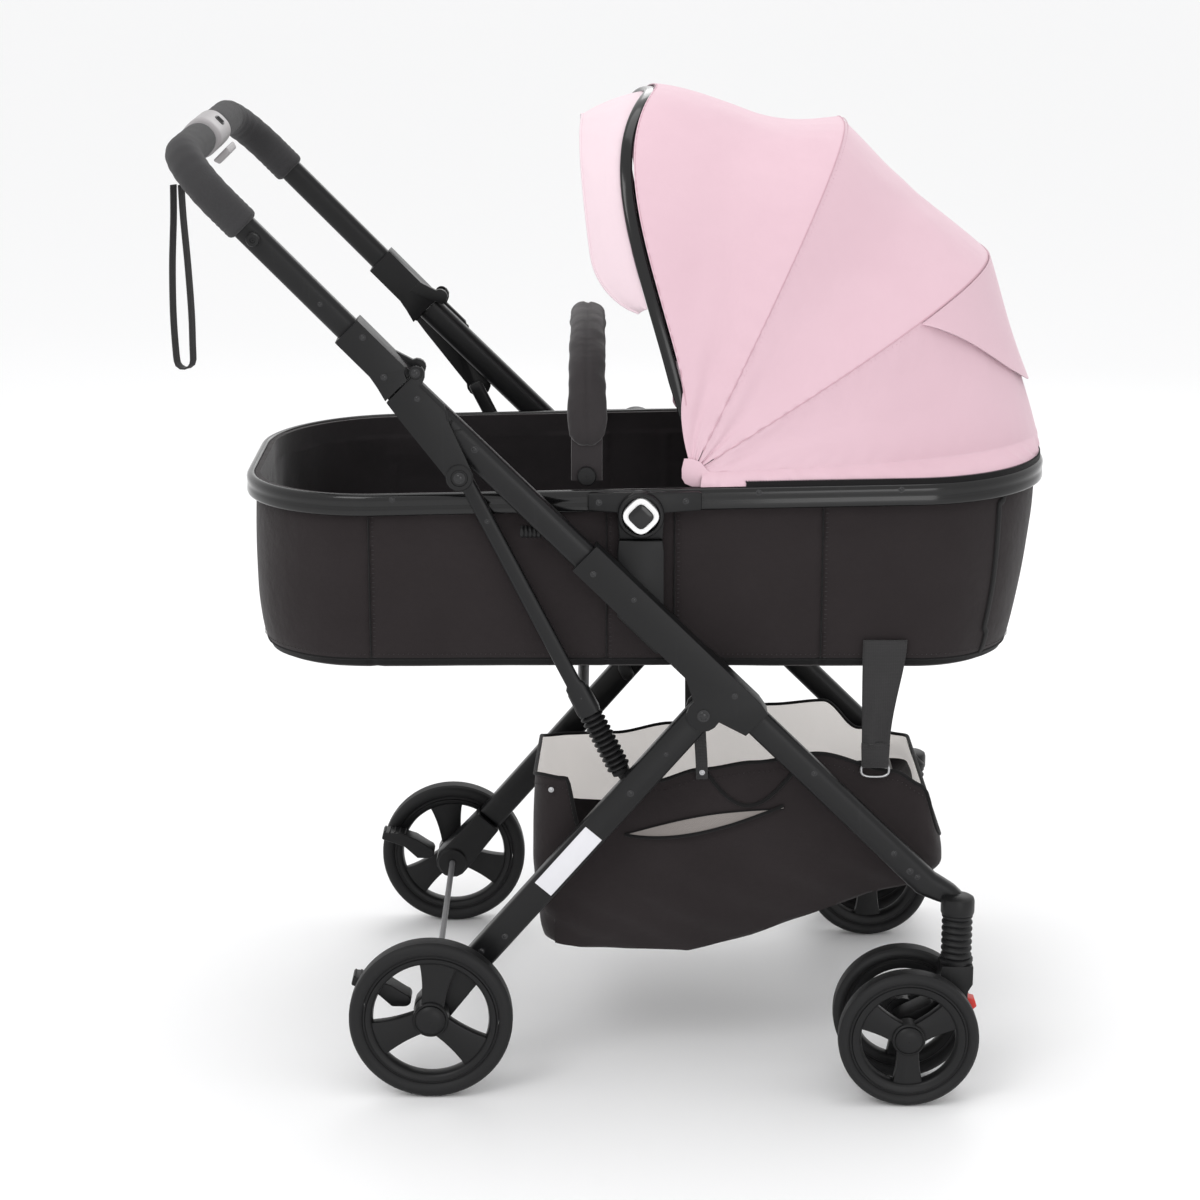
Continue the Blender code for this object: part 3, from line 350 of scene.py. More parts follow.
finishes = {
    "frame": hardMaterial("satinBlackPaint", (0.0065, 0.0065, 0.0070), 0.34, 2400.0, 0.00003, 0.5),
    "plastic": hardMaterial("blackPlastic", (0.0060, 0.0060, 0.0064), 0.42, 1500.0, 0.00005),
    "gloss": hardMaterial("glossBlack", (0.0050, 0.0050, 0.0052), 0.17, 900.0, 0.00001, 0.3, 0.25),
    "foam": foamMaterial("gripFoam", (0.040, 0.039, 0.041)),
    "grey": hardMaterial("greyPlastic", (0.33, 0.315, 0.32), 0.42, 1500.0, 0.00003, 0.2),
    "steel": hardMaterial("brushedSteel", (0.42, 0.42, 0.43), 0.34, 700.0, 0.00002, 0.5, 0.0, 1.0),
    "greyTube": hardMaterial("greyTubePaint", (0.16, 0.16, 0.165), 0.38, 2400.0, 0.00003, 0.5),
    "rivet": hardMaterial("rivetBlack", (0.016, 0.016, 0.017), 0.22, 900.0, 0.00001, 0.6, 0.2),
    "tyre": hardMaterial("tyreFoam", (0.0085, 0.0085, 0.0090), 0.55, 1100.0, 0.00008, 0.5, 0.0, 0.0, 0.14,
                         0.26),
    "rubber": hardMaterial("bootRubber", (0.0070, 0.0070, 0.0075), 0.48, 1300.0, 0.00006, 0.2, 0.0, 0.0,
                           0.12, 0.26),
    "red": hardMaterial("redPlastic", (0.62, 0.045, 0.035), 0.38, 1500.0, 0.00003, 0.2),
    "white": hardMaterial("whiteRing", (0.86, 0.86, 0.86), 0.28, 1500.0, 0.00001, 0.1, 0.4),
    "blankLabel": hardMaterial("blankLabel", (0.66, 0.66, 0.69), 0.40, 600.0, 0.00002, 0.2),
    "cloth": clothMaterial("blackCloth", (0.0155, 0.0118, 0.0125), (0.0250, 0.0200, 0.0210), wrinkle=0.0011),
    "clothInside": clothMaterial("blackLining", (0.016, 0.014, 0.015), (0.028, 0.024, 0.026), 3600.0, 0.0001,
                                 0.2, 0.3),
    "binding": clothMaterial("blackBinding", (0.006, 0.006, 0.006), (0.011, 0.010, 0.011), 6500.0, 0.0001,
                             0.2, 0.1),
    "padCloth": padMaterial("zigzagPadCloth", (0.012, 0.011, 0.012), (0.055, 0.052, 0.055)),
    "carryCloth": clothMaterial("carryCloth", (0.024, 0.021, 0.022), (0.040, 0.035, 0.037), 4200.0, 0.00012,
                                0.4, 0.3),
    "pink": clothMaterial("pinkCloth", (0.670, 0.460, 0.525), (0.735, 0.525, 0.590), 5600.0, 0.00008, 0.3,
                          0.25, 0.8, 5.0),
    "palePink": clothMaterial("palePinkCloth", (0.755, 0.600, 0.650), (0.80, 0.65, 0.70), 5600.0, 0.00006,
                              0.3, 0.25, 0.8, 5.0),
    "pinkSeam": clothMaterial("pinkSeamCloth", (0.56, 0.35, 0.41), (0.62, 0.40, 0.46), 7000.0, 0.00006, 0.3,
                              0.1),
    "hoodInside": clothMaterial("paleHoodLining", (0.80, 0.62, 0.68), (0.85, 0.68, 0.73), 5000.0, 0.00006,
                                0.3, 0.25),
    "linen": clothMaterial("paleBasketLining", (0.74, 0.72, 0.70), (0.84, 0.82, 0.80), 4200.0, 0.0001, 0.4,
                           0.1),
    "pocket": clothMaterial("greyPocketCloth", (0.21, 0.19, 0.18), (0.30, 0.275, 0.26), 2400.0, 0.00025, 0.6,
                            0.1),
    "webbing": webbingMaterial("blackWebbing", (0.016, 0.015, 0.016)),
    "thread": clothMaterial("darkThread", (0.030, 0.027, 0.028), (0.05, 0.046, 0.047), 9000.0, 0.00005, 0.2,
                            0.1),
}
# painted light: the pale lining is given a faint glow, standing in for the light that brightens it inside the
# shaded basket
paintedGlow = finishes["linen"].node_tree.nodes["Principled BSDF"]
paintedGlow.inputs["Emission Color"].default_value = (1.0, 0.96, 0.93, 1)
paintedGlow.inputs["Emission Strength"].default_value = 0.34
print("materials ready:", len(finishes))

# ---- mesh helpers


def bakeModifiers(obj):
    # turns the evaluated mesh into the object's own and drops its modifiers
    graph = bpy.context.evaluated_depsgraph_get()
    fresh = bpy.data.meshes.new_from_object(obj.evaluated_get(graph), preserve_all_data_layers=True,
                                            depsgraph=graph)
    obj.modifiers.clear()
    obj.data = fresh


def shadeByAngle(mesh, degrees):
    mesh.shade_smooth()
    mesh.set_sharp_from_angle(angle=math.radians(degrees))


def meshPiece(name, verts, faces, finish, smooth=40):
    mesh = bpy.data.meshes.new(name)
    mesh.from_pydata([tuple(v) for v in verts], [], faces)
    bm = bmesh.new()
    bm.from_mesh(mesh)
    bmesh.ops.recalc_face_normals(bm, faces=bm.faces)
    bm.to_mesh(mesh)
    bm.free()
    obj = bpy.data.objects.new(name, mesh)
    scene.collection.objects.link(obj)
    mesh.materials.append(finishes[finish])
    shadeByAngle(mesh, smooth)
    return obj


def ringFaces(ringCount, perRing, closed):
    faces = []
    for k in range(ringCount if closed else ringCount - 1):
        a, b = k * perRing, (k + 1) % ringCount * perRing
        for i in range(perRing):
            j = (i + 1) % perRing
            faces.append((a + i, a + j, b + j, b + i))
    if not closed:
        faces.append(tuple(range(perRing)))
        faces.append(tuple(range((ringCount - 1) * perRing, ringCount * perRing)))
    return faces


def skinPiece(name, rings, finish, closed=False, smooth=40):
    verts = [p for ring in rings for p in ring]
    return meshPiece(name, verts, ringFaces(len(rings), len(rings[0]), closed), finish, smooth)


def ovalRing(centre, across, upward, halfA, halfB, power=3.0, count=40):
    centre, across, upward = Vector(centre), Vector(across), Vector(upward)
    ring = []
    for i in range(count):
        angle = 2 * math.pi * i / count
        c, s = math.cos(angle), math.sin(angle)
        a = math.copysign(abs(c) ** (2 / power), c) * halfA
        b = math.copysign(abs(s) ** (2 / power), s) * halfB
        ring.append(centre + across * a + upward * b)
    return ring


def joinPieces(name, pieces):
    bm = bmesh.new()
    for piece in pieces:
        bm.from_mesh(piece.data)
    mesh = bpy.data.meshes.new(name)
    bm.to_mesh(mesh)
    bm.free()
    mesh.materials.append(pieces[0].data.materials[0])
    joined = bpy.data.objects.new(name, mesh)
    scene.collection.objects.link(joined)
    for piece in pieces:
        bpy.data.objects.remove(piece)
    return joined


def roundEdges(obj, width, segments=2, smooth=40):
    bevel = obj.modifiers.new("roundEdges", "BEVEL")
    bevel.width = width
    bevel.segments = segments
    bevel.limit_method = "ANGLE"
    bevel.angle_limit = math.radians(28)
    bevel.use_clamp_overlap = True
    bakeModifiers(obj)
    shadeByAngle(obj.data, smooth)
    return obj


def platePiece(name, outline, yLow, yHigh, finish, edge=0.001, smooth=40):
    count = len(outline)
    verts = [(x, yLow, z) for x, z in outline] + [(x, yHigh, z) for x, z in outline]
    faces = [tuple(range(count)), tuple(range(2 * count - 1, count - 1, -1))]
    faces += [(i, i + count, (i + 1) % count + count, (i + 1) % count) for i in range(count)]
    return roundEdges(meshPiece(name, verts, faces, finish), edge, 2, smooth)


def lathePiece(name, centre, profile, finish, steps=64, smooth=35, axis="y"):
    # profile holds (radius, place along the axis)
    rings = []
    for i in range(steps):
        angle = 2 * math.pi * i / steps
        c, s = math.cos(angle), math.sin(angle)
        if axis == "y":
            rings.append([(centre[0] + r * c, centre[1] + w, centre[2] + r * s) for r, w in profile])
        else:
            rings.append([(centre[0] + r * c, centre[1] + r * s, centre[2] + w) for r, w in profile])
    return skinPiece(name, rings, finish, True, smooth)


def refinedCad(node, finish, edge=0.0008, segments=2, smooth=40):
    # a merged copy of a CAD node with its edges rounded
    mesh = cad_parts[node].data.copy()
    bm = bmesh.new()
    bm.from_mesh(mesh)
    bmesh.ops.remove_doubles(bm, verts=bm.verts, dist=0.00002)
    bmesh.ops.dissolve_limit(bm, angle_limit=math.radians(1.5), verts=bm.verts, edges=bm.edges)
    bm.to_mesh(mesh)
    bm.free()
    obj = bpy.data.objects.new(node + "_fine", mesh)
    scene.collection.objects.link(obj)
    mesh.materials.clear()
    mesh.materials.append(finishes[finish])
    if edge:
        roundEdges(obj, edge, segments, smooth)
    else:
        shadeByAngle(mesh, smooth)
    return obj


def settle(obj, body, slotName, *cadNodes):
    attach(obj, body)
    if cadNodes:
        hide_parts(*cadNodes)
    return obj


def settleCad(node, finish, edge, segments, body, slotName):
    # a refined solid of the assembly that keeps its own name
    settle(refinedCad(node, finish, edge, segments), body, slotName, node)


def sweepPiece(name, points, finish, halfA, halfB=None, sideways=(0, 1, 0), power=2.0, count=12,
               closed=False, smooth=50):
    # a tube or tape along points; halfA lies along sideways
    halfB = halfB or halfA
    rings = []
    total = len(points)
    for i, p in enumerate(points):
        p = Vector(p)
        after = Vector(points[(i + 1) % total]) if closed else Vector(points[min(i + 1, total - 1)])
        before = Vector(points[(i - 1) % total]) if closed else Vector(points[max(i - 1, 0)])
        along = (after - before).normalized()
        reference = Vector(sideways)
        across = (reference - along * reference.dot(along)).normalized()
        rings.append(ovalRing(p, across, along.cross(across), halfA, halfB, power, count))
    return skinPiece(name, rings, finish, closed, smooth)


def smoothPath(points, spacing):
    points = [Vector(p) for p in points]
    out = []
    for i in range(len(points) - 1):
        p0, p1, p2, p3 = points[max(i - 1, 0)], points[i], points[i + 1], points[min(i + 2, len(points) - 1)]
        steps = max(1, round((p2 - p1).length / spacing))
        for k in range(steps):
            t = k / steps
            out.append(0.5 * (2 * p1 + (p2 - p0) * t + (2 * p0 - 5 * p1 + 4 * p2 - p3) * t * t
                              + (3 * p1 - p0 - 3 * p2 + p3) * t ** 3))
    return out + [points[-1]]


def arcPoints(centre, radius, start, end, steps):
    return [(centre[0] + radius * math.cos(math.radians(start + (end - start) * i / steps)),
             centre[1] + radius * math.sin(math.radians(start + (end - start) * i / steps)))
            for i in range(steps + 1)]


def span(side, inner, outer):
    return sorted((side * inner, side * outer))


# ---- geometry node trees

def startTree(name, inputs):
    tree = bpy.data.node_groups.new(name, "GeometryNodeTree")
    tree.interface.new_socket("Geometry", in_out="INPUT", socket_type="NodeSocketGeometry")
    for label, kind, value in inputs:
        socket = tree.interface.new_socket(label, in_out="INPUT", socket_type=kind)
        if value is not None:
            socket.default_value = value
    tree.interface.new_socket("Geometry", in_out="OUTPUT", socket_type="NodeSocketGeometry")
    return tree, tree.nodes.new("NodeGroupInput"), tree.nodes.new("NodeGroupOutput")


def endTree(tree, groupIn, groupOut, geometry):
    realize = tree.nodes.new("GeometryNodeRealizeInstances")
    paint = tree.nodes.new("GeometryNodeSetMaterial")
    tree.links.new(geometry, realize.inputs[0])
    tree.links.new(realize.outputs[0], paint.inputs["Geometry"])
    tree.links.new(groupIn.outputs["Material"], paint.inputs["Material"])
    tree.links.new(paint.outputs[0], groupOut.inputs[0])
    return tree


def makePathTree():
    # small copies of one object set out along an edge path
    tree, groupIn, groupOut = startTree("copiesAlongPath", [
        ("Spacing", "NodeSocketFloat", 0.004), ("Size", "NodeSocketFloat", 1.0),
                ("Turn", "NodeSocketFloat", 0.0),
        ("Copy", "NodeSocketObject", None), ("Material", "NodeSocketMaterial", None)])
    toCurve = tree.nodes.new("GeometryNodeMeshToCurve")
    toPoints = tree.nodes.new("GeometryNodeCurveToPoints")
    toPoints.mode = "LENGTH"
    info = tree.nodes.new("GeometryNodeObjectInfo")
    place = tree.nodes.new("GeometryNodeInstanceOnPoints")
    turn = tree.nodes.new("FunctionNodeAxisAngleToRotation")
    rotate = tree.nodes.new("FunctionNodeRotateRotation")
    rotate.rotation_space = "LOCAL"
    turn.inputs["Axis"].default_value = (0, 0, 1)
    tree.links.new(groupIn.outputs["Geometry"], toCurve.inputs[0])
    tree.links.new(toCurve.outputs[0], toPoints.inputs["Curve"])
    tree.links.new(groupIn.outputs["Spacing"], toPoints.inputs["Length"])
    tree.links.new(groupIn.outputs["Turn"], turn.inputs["Angle"])
    tree.links.new(toPoints.outputs["Rotation"], rotate.inputs["Rotation"])
    tree.links.new(turn.outputs[0], rotate.inputs["Rotate By"])
    tree.links.new(groupIn.outputs["Copy"], info.inputs[0])
    tree.links.new(toPoints.outputs["Points"], place.inputs["Points"])
    tree.links.new(info.outputs["Geometry"], place.inputs["Instance"])
    tree.links.new(rotate.outputs[0], place.inputs["Rotation"])
    tree.links.new(groupIn.outputs["Size"], place.inputs["Scale"])
    return endTree(tree, groupIn, groupOut, place.outputs[0])


def makeRivetTree():
    # a domed rivet head at each point, standing along the point's stored direction and sized by its
    # stored radius
    tree, groupIn, groupOut = startTree("rivets", [
        ("Dome", "NodeSocketFloat", 0.45), ("Washer", "NodeSocketFloat", 1.35),
                ("Material", "NodeSocketMaterial", None)])
    facing = tree.nodes.new("GeometryNodeInputNamedAttribute")
    facing.data_type = "FLOAT_VECTOR"
    facing.inputs["Name"].default_value = "facing"
    radius = tree.nodes.new("GeometryNodeInputNamedAttribute")
    radius.data_type = "FLOAT"
    radius.inputs["Name"].default_value = "radius"
    align = tree.nodes.new("FunctionNodeAlignRotationToVector")
    align.axis = "Z"
    ball = tree.nodes.new("GeometryNodeMeshUVSphere")
    ball.inputs["Segments"].default_value = 20
    ball.inputs["Rings"].default_value = 12
    ball.inputs["Radius"].default_value = 1.0
    flatten = tree.nodes.new("GeometryNodeTransform")
    squashed = tree.nodes.new("ShaderNodeCombineXYZ")
    squashed.inputs[0].default_value = 1.0
    squashed.inputs[1].default_value = 1.0
    washer = tree.nodes.new("GeometryNodeMeshCylinder")
    washer.inputs["Vertices"].default_value = 24
    washer.inputs["Depth"].default_value = 0.36
    join = tree.nodes.new("GeometryNodeJoinGeometry")
    smooth = tree.nodes.new("GeometryNodeSetShadeSmooth")
    place = tree.nodes.new("GeometryNodeInstanceOnPoints")
    tree.links.new(groupIn.outputs["Dome"], squashed.inputs[2])
    tree.links.new(squashed.outputs[0], flatten.inputs["Scale"])
    tree.links.new(ball.outputs["Mesh"], smooth.inputs[0])
    tree.links.new(smooth.outputs[0], flatten.inputs["Geometry"])
    tree.links.new(groupIn.outputs["Washer"], washer.inputs["Radius"])
    tree.links.new(flatten.outputs[0], join.inputs[0])
    tree.links.new(washer.outputs["Mesh"], join.inputs[0])
    tree.links.new(facing.outputs["Attribute"], align.inputs["Vector"])
    tree.links.new(groupIn.outputs["Geometry"], place.inputs["Points"])
    tree.links.new(join.outputs[0], place.inputs["Instance"])
    tree.links.new(align.outputs[0], place.inputs["Rotation"])
    tree.links.new(radius.outputs["Attribute"], place.inputs["Scale"])
    return endTree(tree, groupIn, groupOut, place.outputs[0])


def makeBootTree():
    # a bellows: ribs along a line, swept round it
    tree, groupIn, groupOut = startTree("ribbedBoot", [
        ("Ribs", "NodeSocketFloat", 8.0), ("Core", "NodeSocketFloat", 0.012),
                ("Rib Height", "NodeSocketFloat", 0.003),
        ("Steps", "NodeSocketInt", 120), ("Material", "NodeSocketMaterial", None)])
    toCurve = tree.nodes.new("GeometryNodeMeshToCurve")
    resample = tree.nodes.new("GeometryNodeResampleCurve")
    along = tree.nodes.new("GeometryNodeSplineParameter")
    circle = tree.nodes.new("GeometryNodeCurvePrimitiveCircle")
    circle.inputs["Resolution"].default_value = 32
    circle.inputs["Radius"].default_value = 1.0
    setRadius = tree.nodes.new("GeometryNodeSetCurveRadius")
    toMesh = tree.nodes.new("GeometryNodeCurveToMesh")
    toMesh.inputs["Fill Caps"].default_value = True
    smooth = tree.nodes.new("GeometryNodeSetShadeSmooth")
    phase = addMath(tree, "MULTIPLY",
                    addMath(tree, "MULTIPLY", along.outputs["Factor"], groupIn.outputs["Ribs"]), 2 * math.pi)
    wave = addMath(tree, "ADD", addMath(tree, "MULTIPLY", addMath(tree, "COSINE", phase), -0.5), 0.5)
    wave = addMath(tree, "POWER", wave, 0.6)
    width = addMath(tree, "ADD", addMath(tree, "MULTIPLY", wave, groupIn.outputs["Rib Height"]),
                    groupIn.outputs["Core"])
    tree.links.new(groupIn.outputs["Geometry"], toCurve.inputs[0])
    tree.links.new(toCurve.outputs[0], resample.inputs["Curve"])
    tree.links.new(groupIn.outputs["Steps"], resample.inputs["Count"])
    tree.links.new(resample.outputs[0], setRadius.inputs["Curve"])
    tree.links.new(width, setRadius.inputs["Radius"])
    tree.links.new(setRadius.outputs[0], toMesh.inputs["Curve"])
    tree.links.new(circle.outputs[0], toMesh.inputs["Profile Curve"])
    if "Scale" in toMesh.inputs:
        tree.links.new(width, toMesh.inputs["Scale"])
    tree.links.new(toMesh.outputs[0], smooth.inputs[0])
    return endTree(tree, groupIn, groupOut, smooth.outputs[0])


trees = {"path": makePathTree(), "rivets": makeRivetTree(), "boot": makeBootTree()}


def growPiece(name, points, edges, treeName, inputs, attributes, smooth):
    mesh = bpy.data.meshes.new(name)
    mesh.from_pydata([tuple(p) for p in points], edges, [])
    for label, kind, values in attributes:
        attribute = mesh.attributes.new(label, kind, "POINT")
        for item, value in zip(attribute.data, values):
            if kind == "FLOAT_VECTOR":
                item.vector = value
            else:
                item.value = value
    obj = bpy.data.objects.new(name, mesh)
    scene.collection.objects.link(obj)
    tree = trees[treeName]
    modifier = obj.modifiers.new(treeName, "NODES")
    modifier.node_group = tree
    for item in tree.interface.items_tree:
        if item.item_type == "SOCKET" and item.in_out == "INPUT" and item.name in inputs:
            modifier[item.identifier] = inputs[item.name]
    bakeModifiers(obj)
    shadeByAngle(obj.data, smooth)
    return obj


def rivetPiece(name, rivets, body, finish="rivet"):
    # rivets holds (point, direction, radius)
    points = [r[0] for r in rivets]
    obj = growPiece(name, points, [], "rivets", {"Dome": 0.45, "Washer": 1.35, "Material": finishes[finish]},
                    (("facing", "FLOAT_VECTOR", [r[1] for r in rivets]),
                     ("radius", "FLOAT", [r[2] for r in rivets])), 40)
    return settle(obj, body, "steel")


def copiesPiece(name, points, spacing, copyObj, finish, body, slotName, closed=False, size=1.0, turn=0.0):
    edges = [(i, i + 1) for i in range(len(points) - 1)] + ([(len(points) - 1, 0)] if closed else [])
    obj = growPiece(name, points, edges, "path",
                    {"Spacing": spacing, "Size": size, "Turn": turn, "Copy": copyObj,
                     "Material": finishes[finish]}, (), 50)
    return settle(obj, body, slotName)


def bootPiece(name, start, end, ribs, core, ribHeight, finish="rubber"):
    return growPiece(name, [start, end], [(0, 1)], "boot",
                     {"Ribs": float(ribs), "Core": core, "Rib Height": ribHeight, "Steps": int(ribs * 14 + 1),
                      "Material": finishes[finish]}, (), 60)


def makeStitch(name, length, radius):
    # one stitch: a short lozenge along X, used only as a copy source
    rings = [[(x, radius * k * math.cos(a), radius * k * math.sin(a))
              for a in (math.radians(60 * i) for i in range(6))]
             for x, k in ((-length / 2, 0.4), (-length / 4, 1.0), (length / 4, 1.0), (length / 2, 0.4))]
    return skinPiece(name, rings, "thread")


stitchSource = makeStitch("stitchSource", 0.0030, 0.00045)
toothSource = makeStitch("toothSource", 0.0036, 0.0009)
copySources = [stitchSource, toothSource]
print("helpers ready")

# ---- wrist strap, the one free cord

strapValues = {"width": 0.010, "thick": 0.0022, "side": -0.200}


def strapRoute():
    front = [(-0.4480, 0.9830), (-0.4470, 0.9500), (-0.4440, 0.9000), (-0.4420, 0.8500), (-0.4420, 0.8150)]
    bend = arcPoints((-0.4505, 0.8000), 0.0085, 0, -180, 6)
    back = [(-0.4600, 0.8150), (-0.4610, 0.8500), (-0.4600, 0.9000), (-0.4570, 0.9500), (-0.4560, 0.9830)]
    return smoothPath([(x, strapValues["side"], z) for x, z in front + bend + back], 0.008)


def makeWristStrap():
    route = strapRoute()
    strap = sweepPiece("wristStrap", route, "webbing", strapValues["width"] / 2, strapValues["thick"] / 2,
                       (0.5, 0.87, 0), 5.0, 16)
    settle(strap, "handle", "black_fabric", "wrist_strap")


makeWristStrap()

# ---- side frame: lines that many pieces share

frameLines = {"partPoint": (-0.2206, 0.7831), "mainSlope": 44.6, "handleSlope": 45.5, "frameY": 0.240,
              "foldRise": 0.0205,
              "strutTop": (-0.1627, 0.6870), "strutFoot": (0.0152, 0.3354), "legTop": (0.0926, 0.4285),
              "rearAxle": (-0.2005, 0.0890), "frontAxle": (0.3156, 0.0760), "swivelX": 0.3690,
              "swivelY": 0.2520}


def slopePoint(slope, s, t):
    a = math.radians(slope)
    x, z = frameLines["partPoint"]
    return x + math.cos(a) * s + math.sin(a) * t, z - math.sin(a) * s + math.cos(a) * t


def onMain(s, t):
    return slopePoint(frameLines["mainSlope"], s, t)


def onHandle(s, t):
    return slopePoint(frameLines["handleSlope"], s, t)


def lineBetween(start, end, s, t):
    # s along the line from start to end, t across it
    start, end = Vector(frameLines[start]), Vector(frameLines[end])
    along = (end - start).normalized()
    p = start + along * s + Vector((-along.y, along.x)) * t
    return p.x, p.y


def onLeg(s, t):
    return lineBetween("legTop", "rearAxle", s, t)


def onStrut(s, t):
    return lineBetween("strutTop", "strutFoot", s, t)


def strutSideways():
    along = (Vector(frameLines["strutFoot"]) - Vector(frameLines["strutTop"])).normalized()
    return Vector((-along.y, 0, along.x))


def sidePoint(point, y):
    return point[0], y, point[1]


def rivetsAlong(line, side, rows):
    # rows hold s and t on the line, the distance from the middle plane and the radius
    return [(sidePoint(line(s, t), side * y), (0, side, 0), radius) for s, t, y, radius in rows]


tubeValues = {"halfY": 0.0110, "halfH": 0.0150, "power": 3.2, "endZ": 0.2133, "bendAt": 0.7805,
              "bendEnd": (0.3535, 0.2248), "bendSlope": 28}


def makeMainTube(tag, side):
    a = math.radians(frameLines["mainSlope"])
    up = Vector((math.sin(a), 0, math.cos(a)))
    y = side * frameLines["frameY"]
    flatter = math.radians(tubeValues["bendSlope"])
    turned = Vector((math.cos(flatter), 0, math.sin(flatter)))
    line = [(onMain(0.0003 + 0.02 * i, 0.0), up) for i in range(38)]
    corners = ((onMain(tubeValues["bendAt"], 0.0), up), (tubeValues["bendEnd"], turned),
               ((frameLines["swivelX"], tubeValues["endZ"]), Vector((1, 0, 0))))
    bend = [corners[0]]
    for (p0, d0), (p1, d1), shares in zip(corners, corners[1:], ((0.25, 0.5, 0.75, 1.0), (0.33, 0.66, 1.0))):
        bend += [(tuple(Vector(p0).lerp(Vector(p1), share)), d0.lerp(d1, share).normalized())
                 for share in shares]
    rings = [ovalRing((x, y, z), (0, 1, 0), d, tubeValues["halfY"], tubeValues["halfH"], tubeValues["power"])
             for (x, z), d in line + bend]
    settle(skinPiece("mainTube_" + tag, rings, "frame"), "chassis", "frame_black", "main_tube_" + tag)


def makeFoldJoint(tag, side):
    bracket = refinedCad("fold_bracket_" + tag, "plastic", 0.0007)
    s, y = side, side * 0.2585
    boss = lathePiece("strutBoss", sidePoint(frameLines["strutTop"], y),
                      [(0.0138, 0.0), (0.0138, s * 0.0010), (0.0128, s * 0.0020), (0.0090, s * 0.0022),
                       (0.0084, s * 0.0012),
                       (0.0005, s * 0.0012), (0.0005, 0.0)], "plastic", 48)
    hump = lathePiece("pivotCap", sidePoint(onMain(0.0, frameLines["foldRise"]), y),
                      [(0.0072, 0.0), (0.0072, s * 0.0008), (0.0064, s * 0.0016), (0.0005, s * 0.0016),
                       (0.0005, 0.0)],
                      "plastic", 36)
    ridge = platePiece("edgeRidge",
                       [onMain(0.012, 0.0125), onMain(0.050, 0.0125), onMain(0.058, 0.0065),
                        onMain(0.060, 0.0075),
                                     onMain(0.051, 0.0143), onMain(0.012, 0.0143)],
                       *span(side, 0.2584, 0.2592), "plastic", 0.0003)
    settle(joinPieces("foldBracket_" + tag, [bracket, boss, hump, ridge]), "chassis", "plastic_black",
           "fold_bracket_" + tag)
    lip = platePiece("foldLip_" + tag,
                     [onMain(-0.0010, -0.0225), onMain(0.0012, -0.0225), onMain(0.0012, -0.0050),
                      onMain(-0.0010, -0.0050)],
                     *span(side, 0.2375, 0.2440), "plastic", 0.0002)
    settle(lip, "chassis", "plastic_black")
    lattice = []
    for k in range(5):   # crossed ribs on the hidden side of the bracket
        low, high = (0.006, -0.020), (0.020, 0.014)
        for flip in (0, 1):
            a, b = (low, high) if flip else ((low[0], high[1]), (high[0], low[1]))
            start = sidePoint(onMain(a[0] + 0.013 * k + 0.004, a[1] * 0.7), side * 0.2508)
            end = sidePoint(onMain(b[0] + 0.013 * k + 0.004, b[1] * 0.7), side * 0.2508)
            lattice.append(sweepPiece("latticeRib", [start, end], "plastic", 0.0005, 0.0008, (0, 1, 0), 4.0,
                                      8))
    settle(joinPieces("bracketLattice_" + tag, lattice), "chassis", "plastic_black")


def makeSaddle(tag, side):
    settleCad("leg_connector_" + tag, "plastic", 0.0012, 3, "chassis", "plastic_black")
    settleCad("cot_adapter_" + tag, "plastic", 0.0010, 2, "chassis", "plastic_black")
    # ribbed lock knob between the tube and the cot
    knobAt = sidePoint(onMain(0.205, -0.0215), side * 0.2340)
    knob = bootPiece("lockKnob_" + tag, (knobAt[0] - 0.011, knobAt[1], knobAt[2]),
                     (knobAt[0] + 0.011, knobAt[1], knobAt[2]),
                     5, 0.0058, 0.0012, "plastic")
    settle(knob, "chassis", "plastic_black")


def makeChassisRivets(tag, side):
    rivets = rivetsAlong(onMain, side, (
        (0.0, 0.0205, 0.2600, 0.0036), (0.020, 0.002, 0.2586, 0.0026), (0.100, 0.004, 0.2508, 0.0030),
        (0.280, -0.004, 0.2566, 0.0026), (0.330, 0.006, 0.2566, 0.0022), (0.480, 0.006, 0.2566, 0.0026),
        (0.603, 0.004, 0.2508, 0.0026), (0.7286, 0.001, 0.2508, 0.0026), (0.7554, -0.001, 0.2508, 0.0030),
        (0.766, 0.0, 0.2508, 0.0024)))
    for point, y, radius in (("strutTop", 0.2597, 0.0046), ("legTop", 0.2566, 0.0050)):
        rivets.append((sidePoint(frameLines[point], side * y), (0, side, 0), radius))
    rivetPiece("chassisRivets_" + tag, rivets, "chassis")


def makeSideFrames():
    for tag, side in sides.items():
        makeMainTube(tag, side)
        makeFoldJoint(tag, side)
        makeSaddle(tag, side)
        makeChassisRivets(tag, side)
    bar = [sidePoint(onMain(0.766, 0.0), y) for y in np.linspace(-0.2286, 0.2286, 9)]
    settle(sweepPiece("frontCrossTube", bar, "frame", 0.008, 0.008, (0, 0, 1), 2.0, 32), "chassis",
           "frame_black", "front_cross_tube")


makeSideFrames()
print("side frames ready")

# ---- handle

handleValues = {"reach": 0.3227, "corner": 0.065, "gripStart": 0.2270, "gripRadius": 0.0185,
                "housingHalfY": 0.045,
                "housingRadius": 0.0205, "halfY": 0.0100, "halfH": 0.0135}


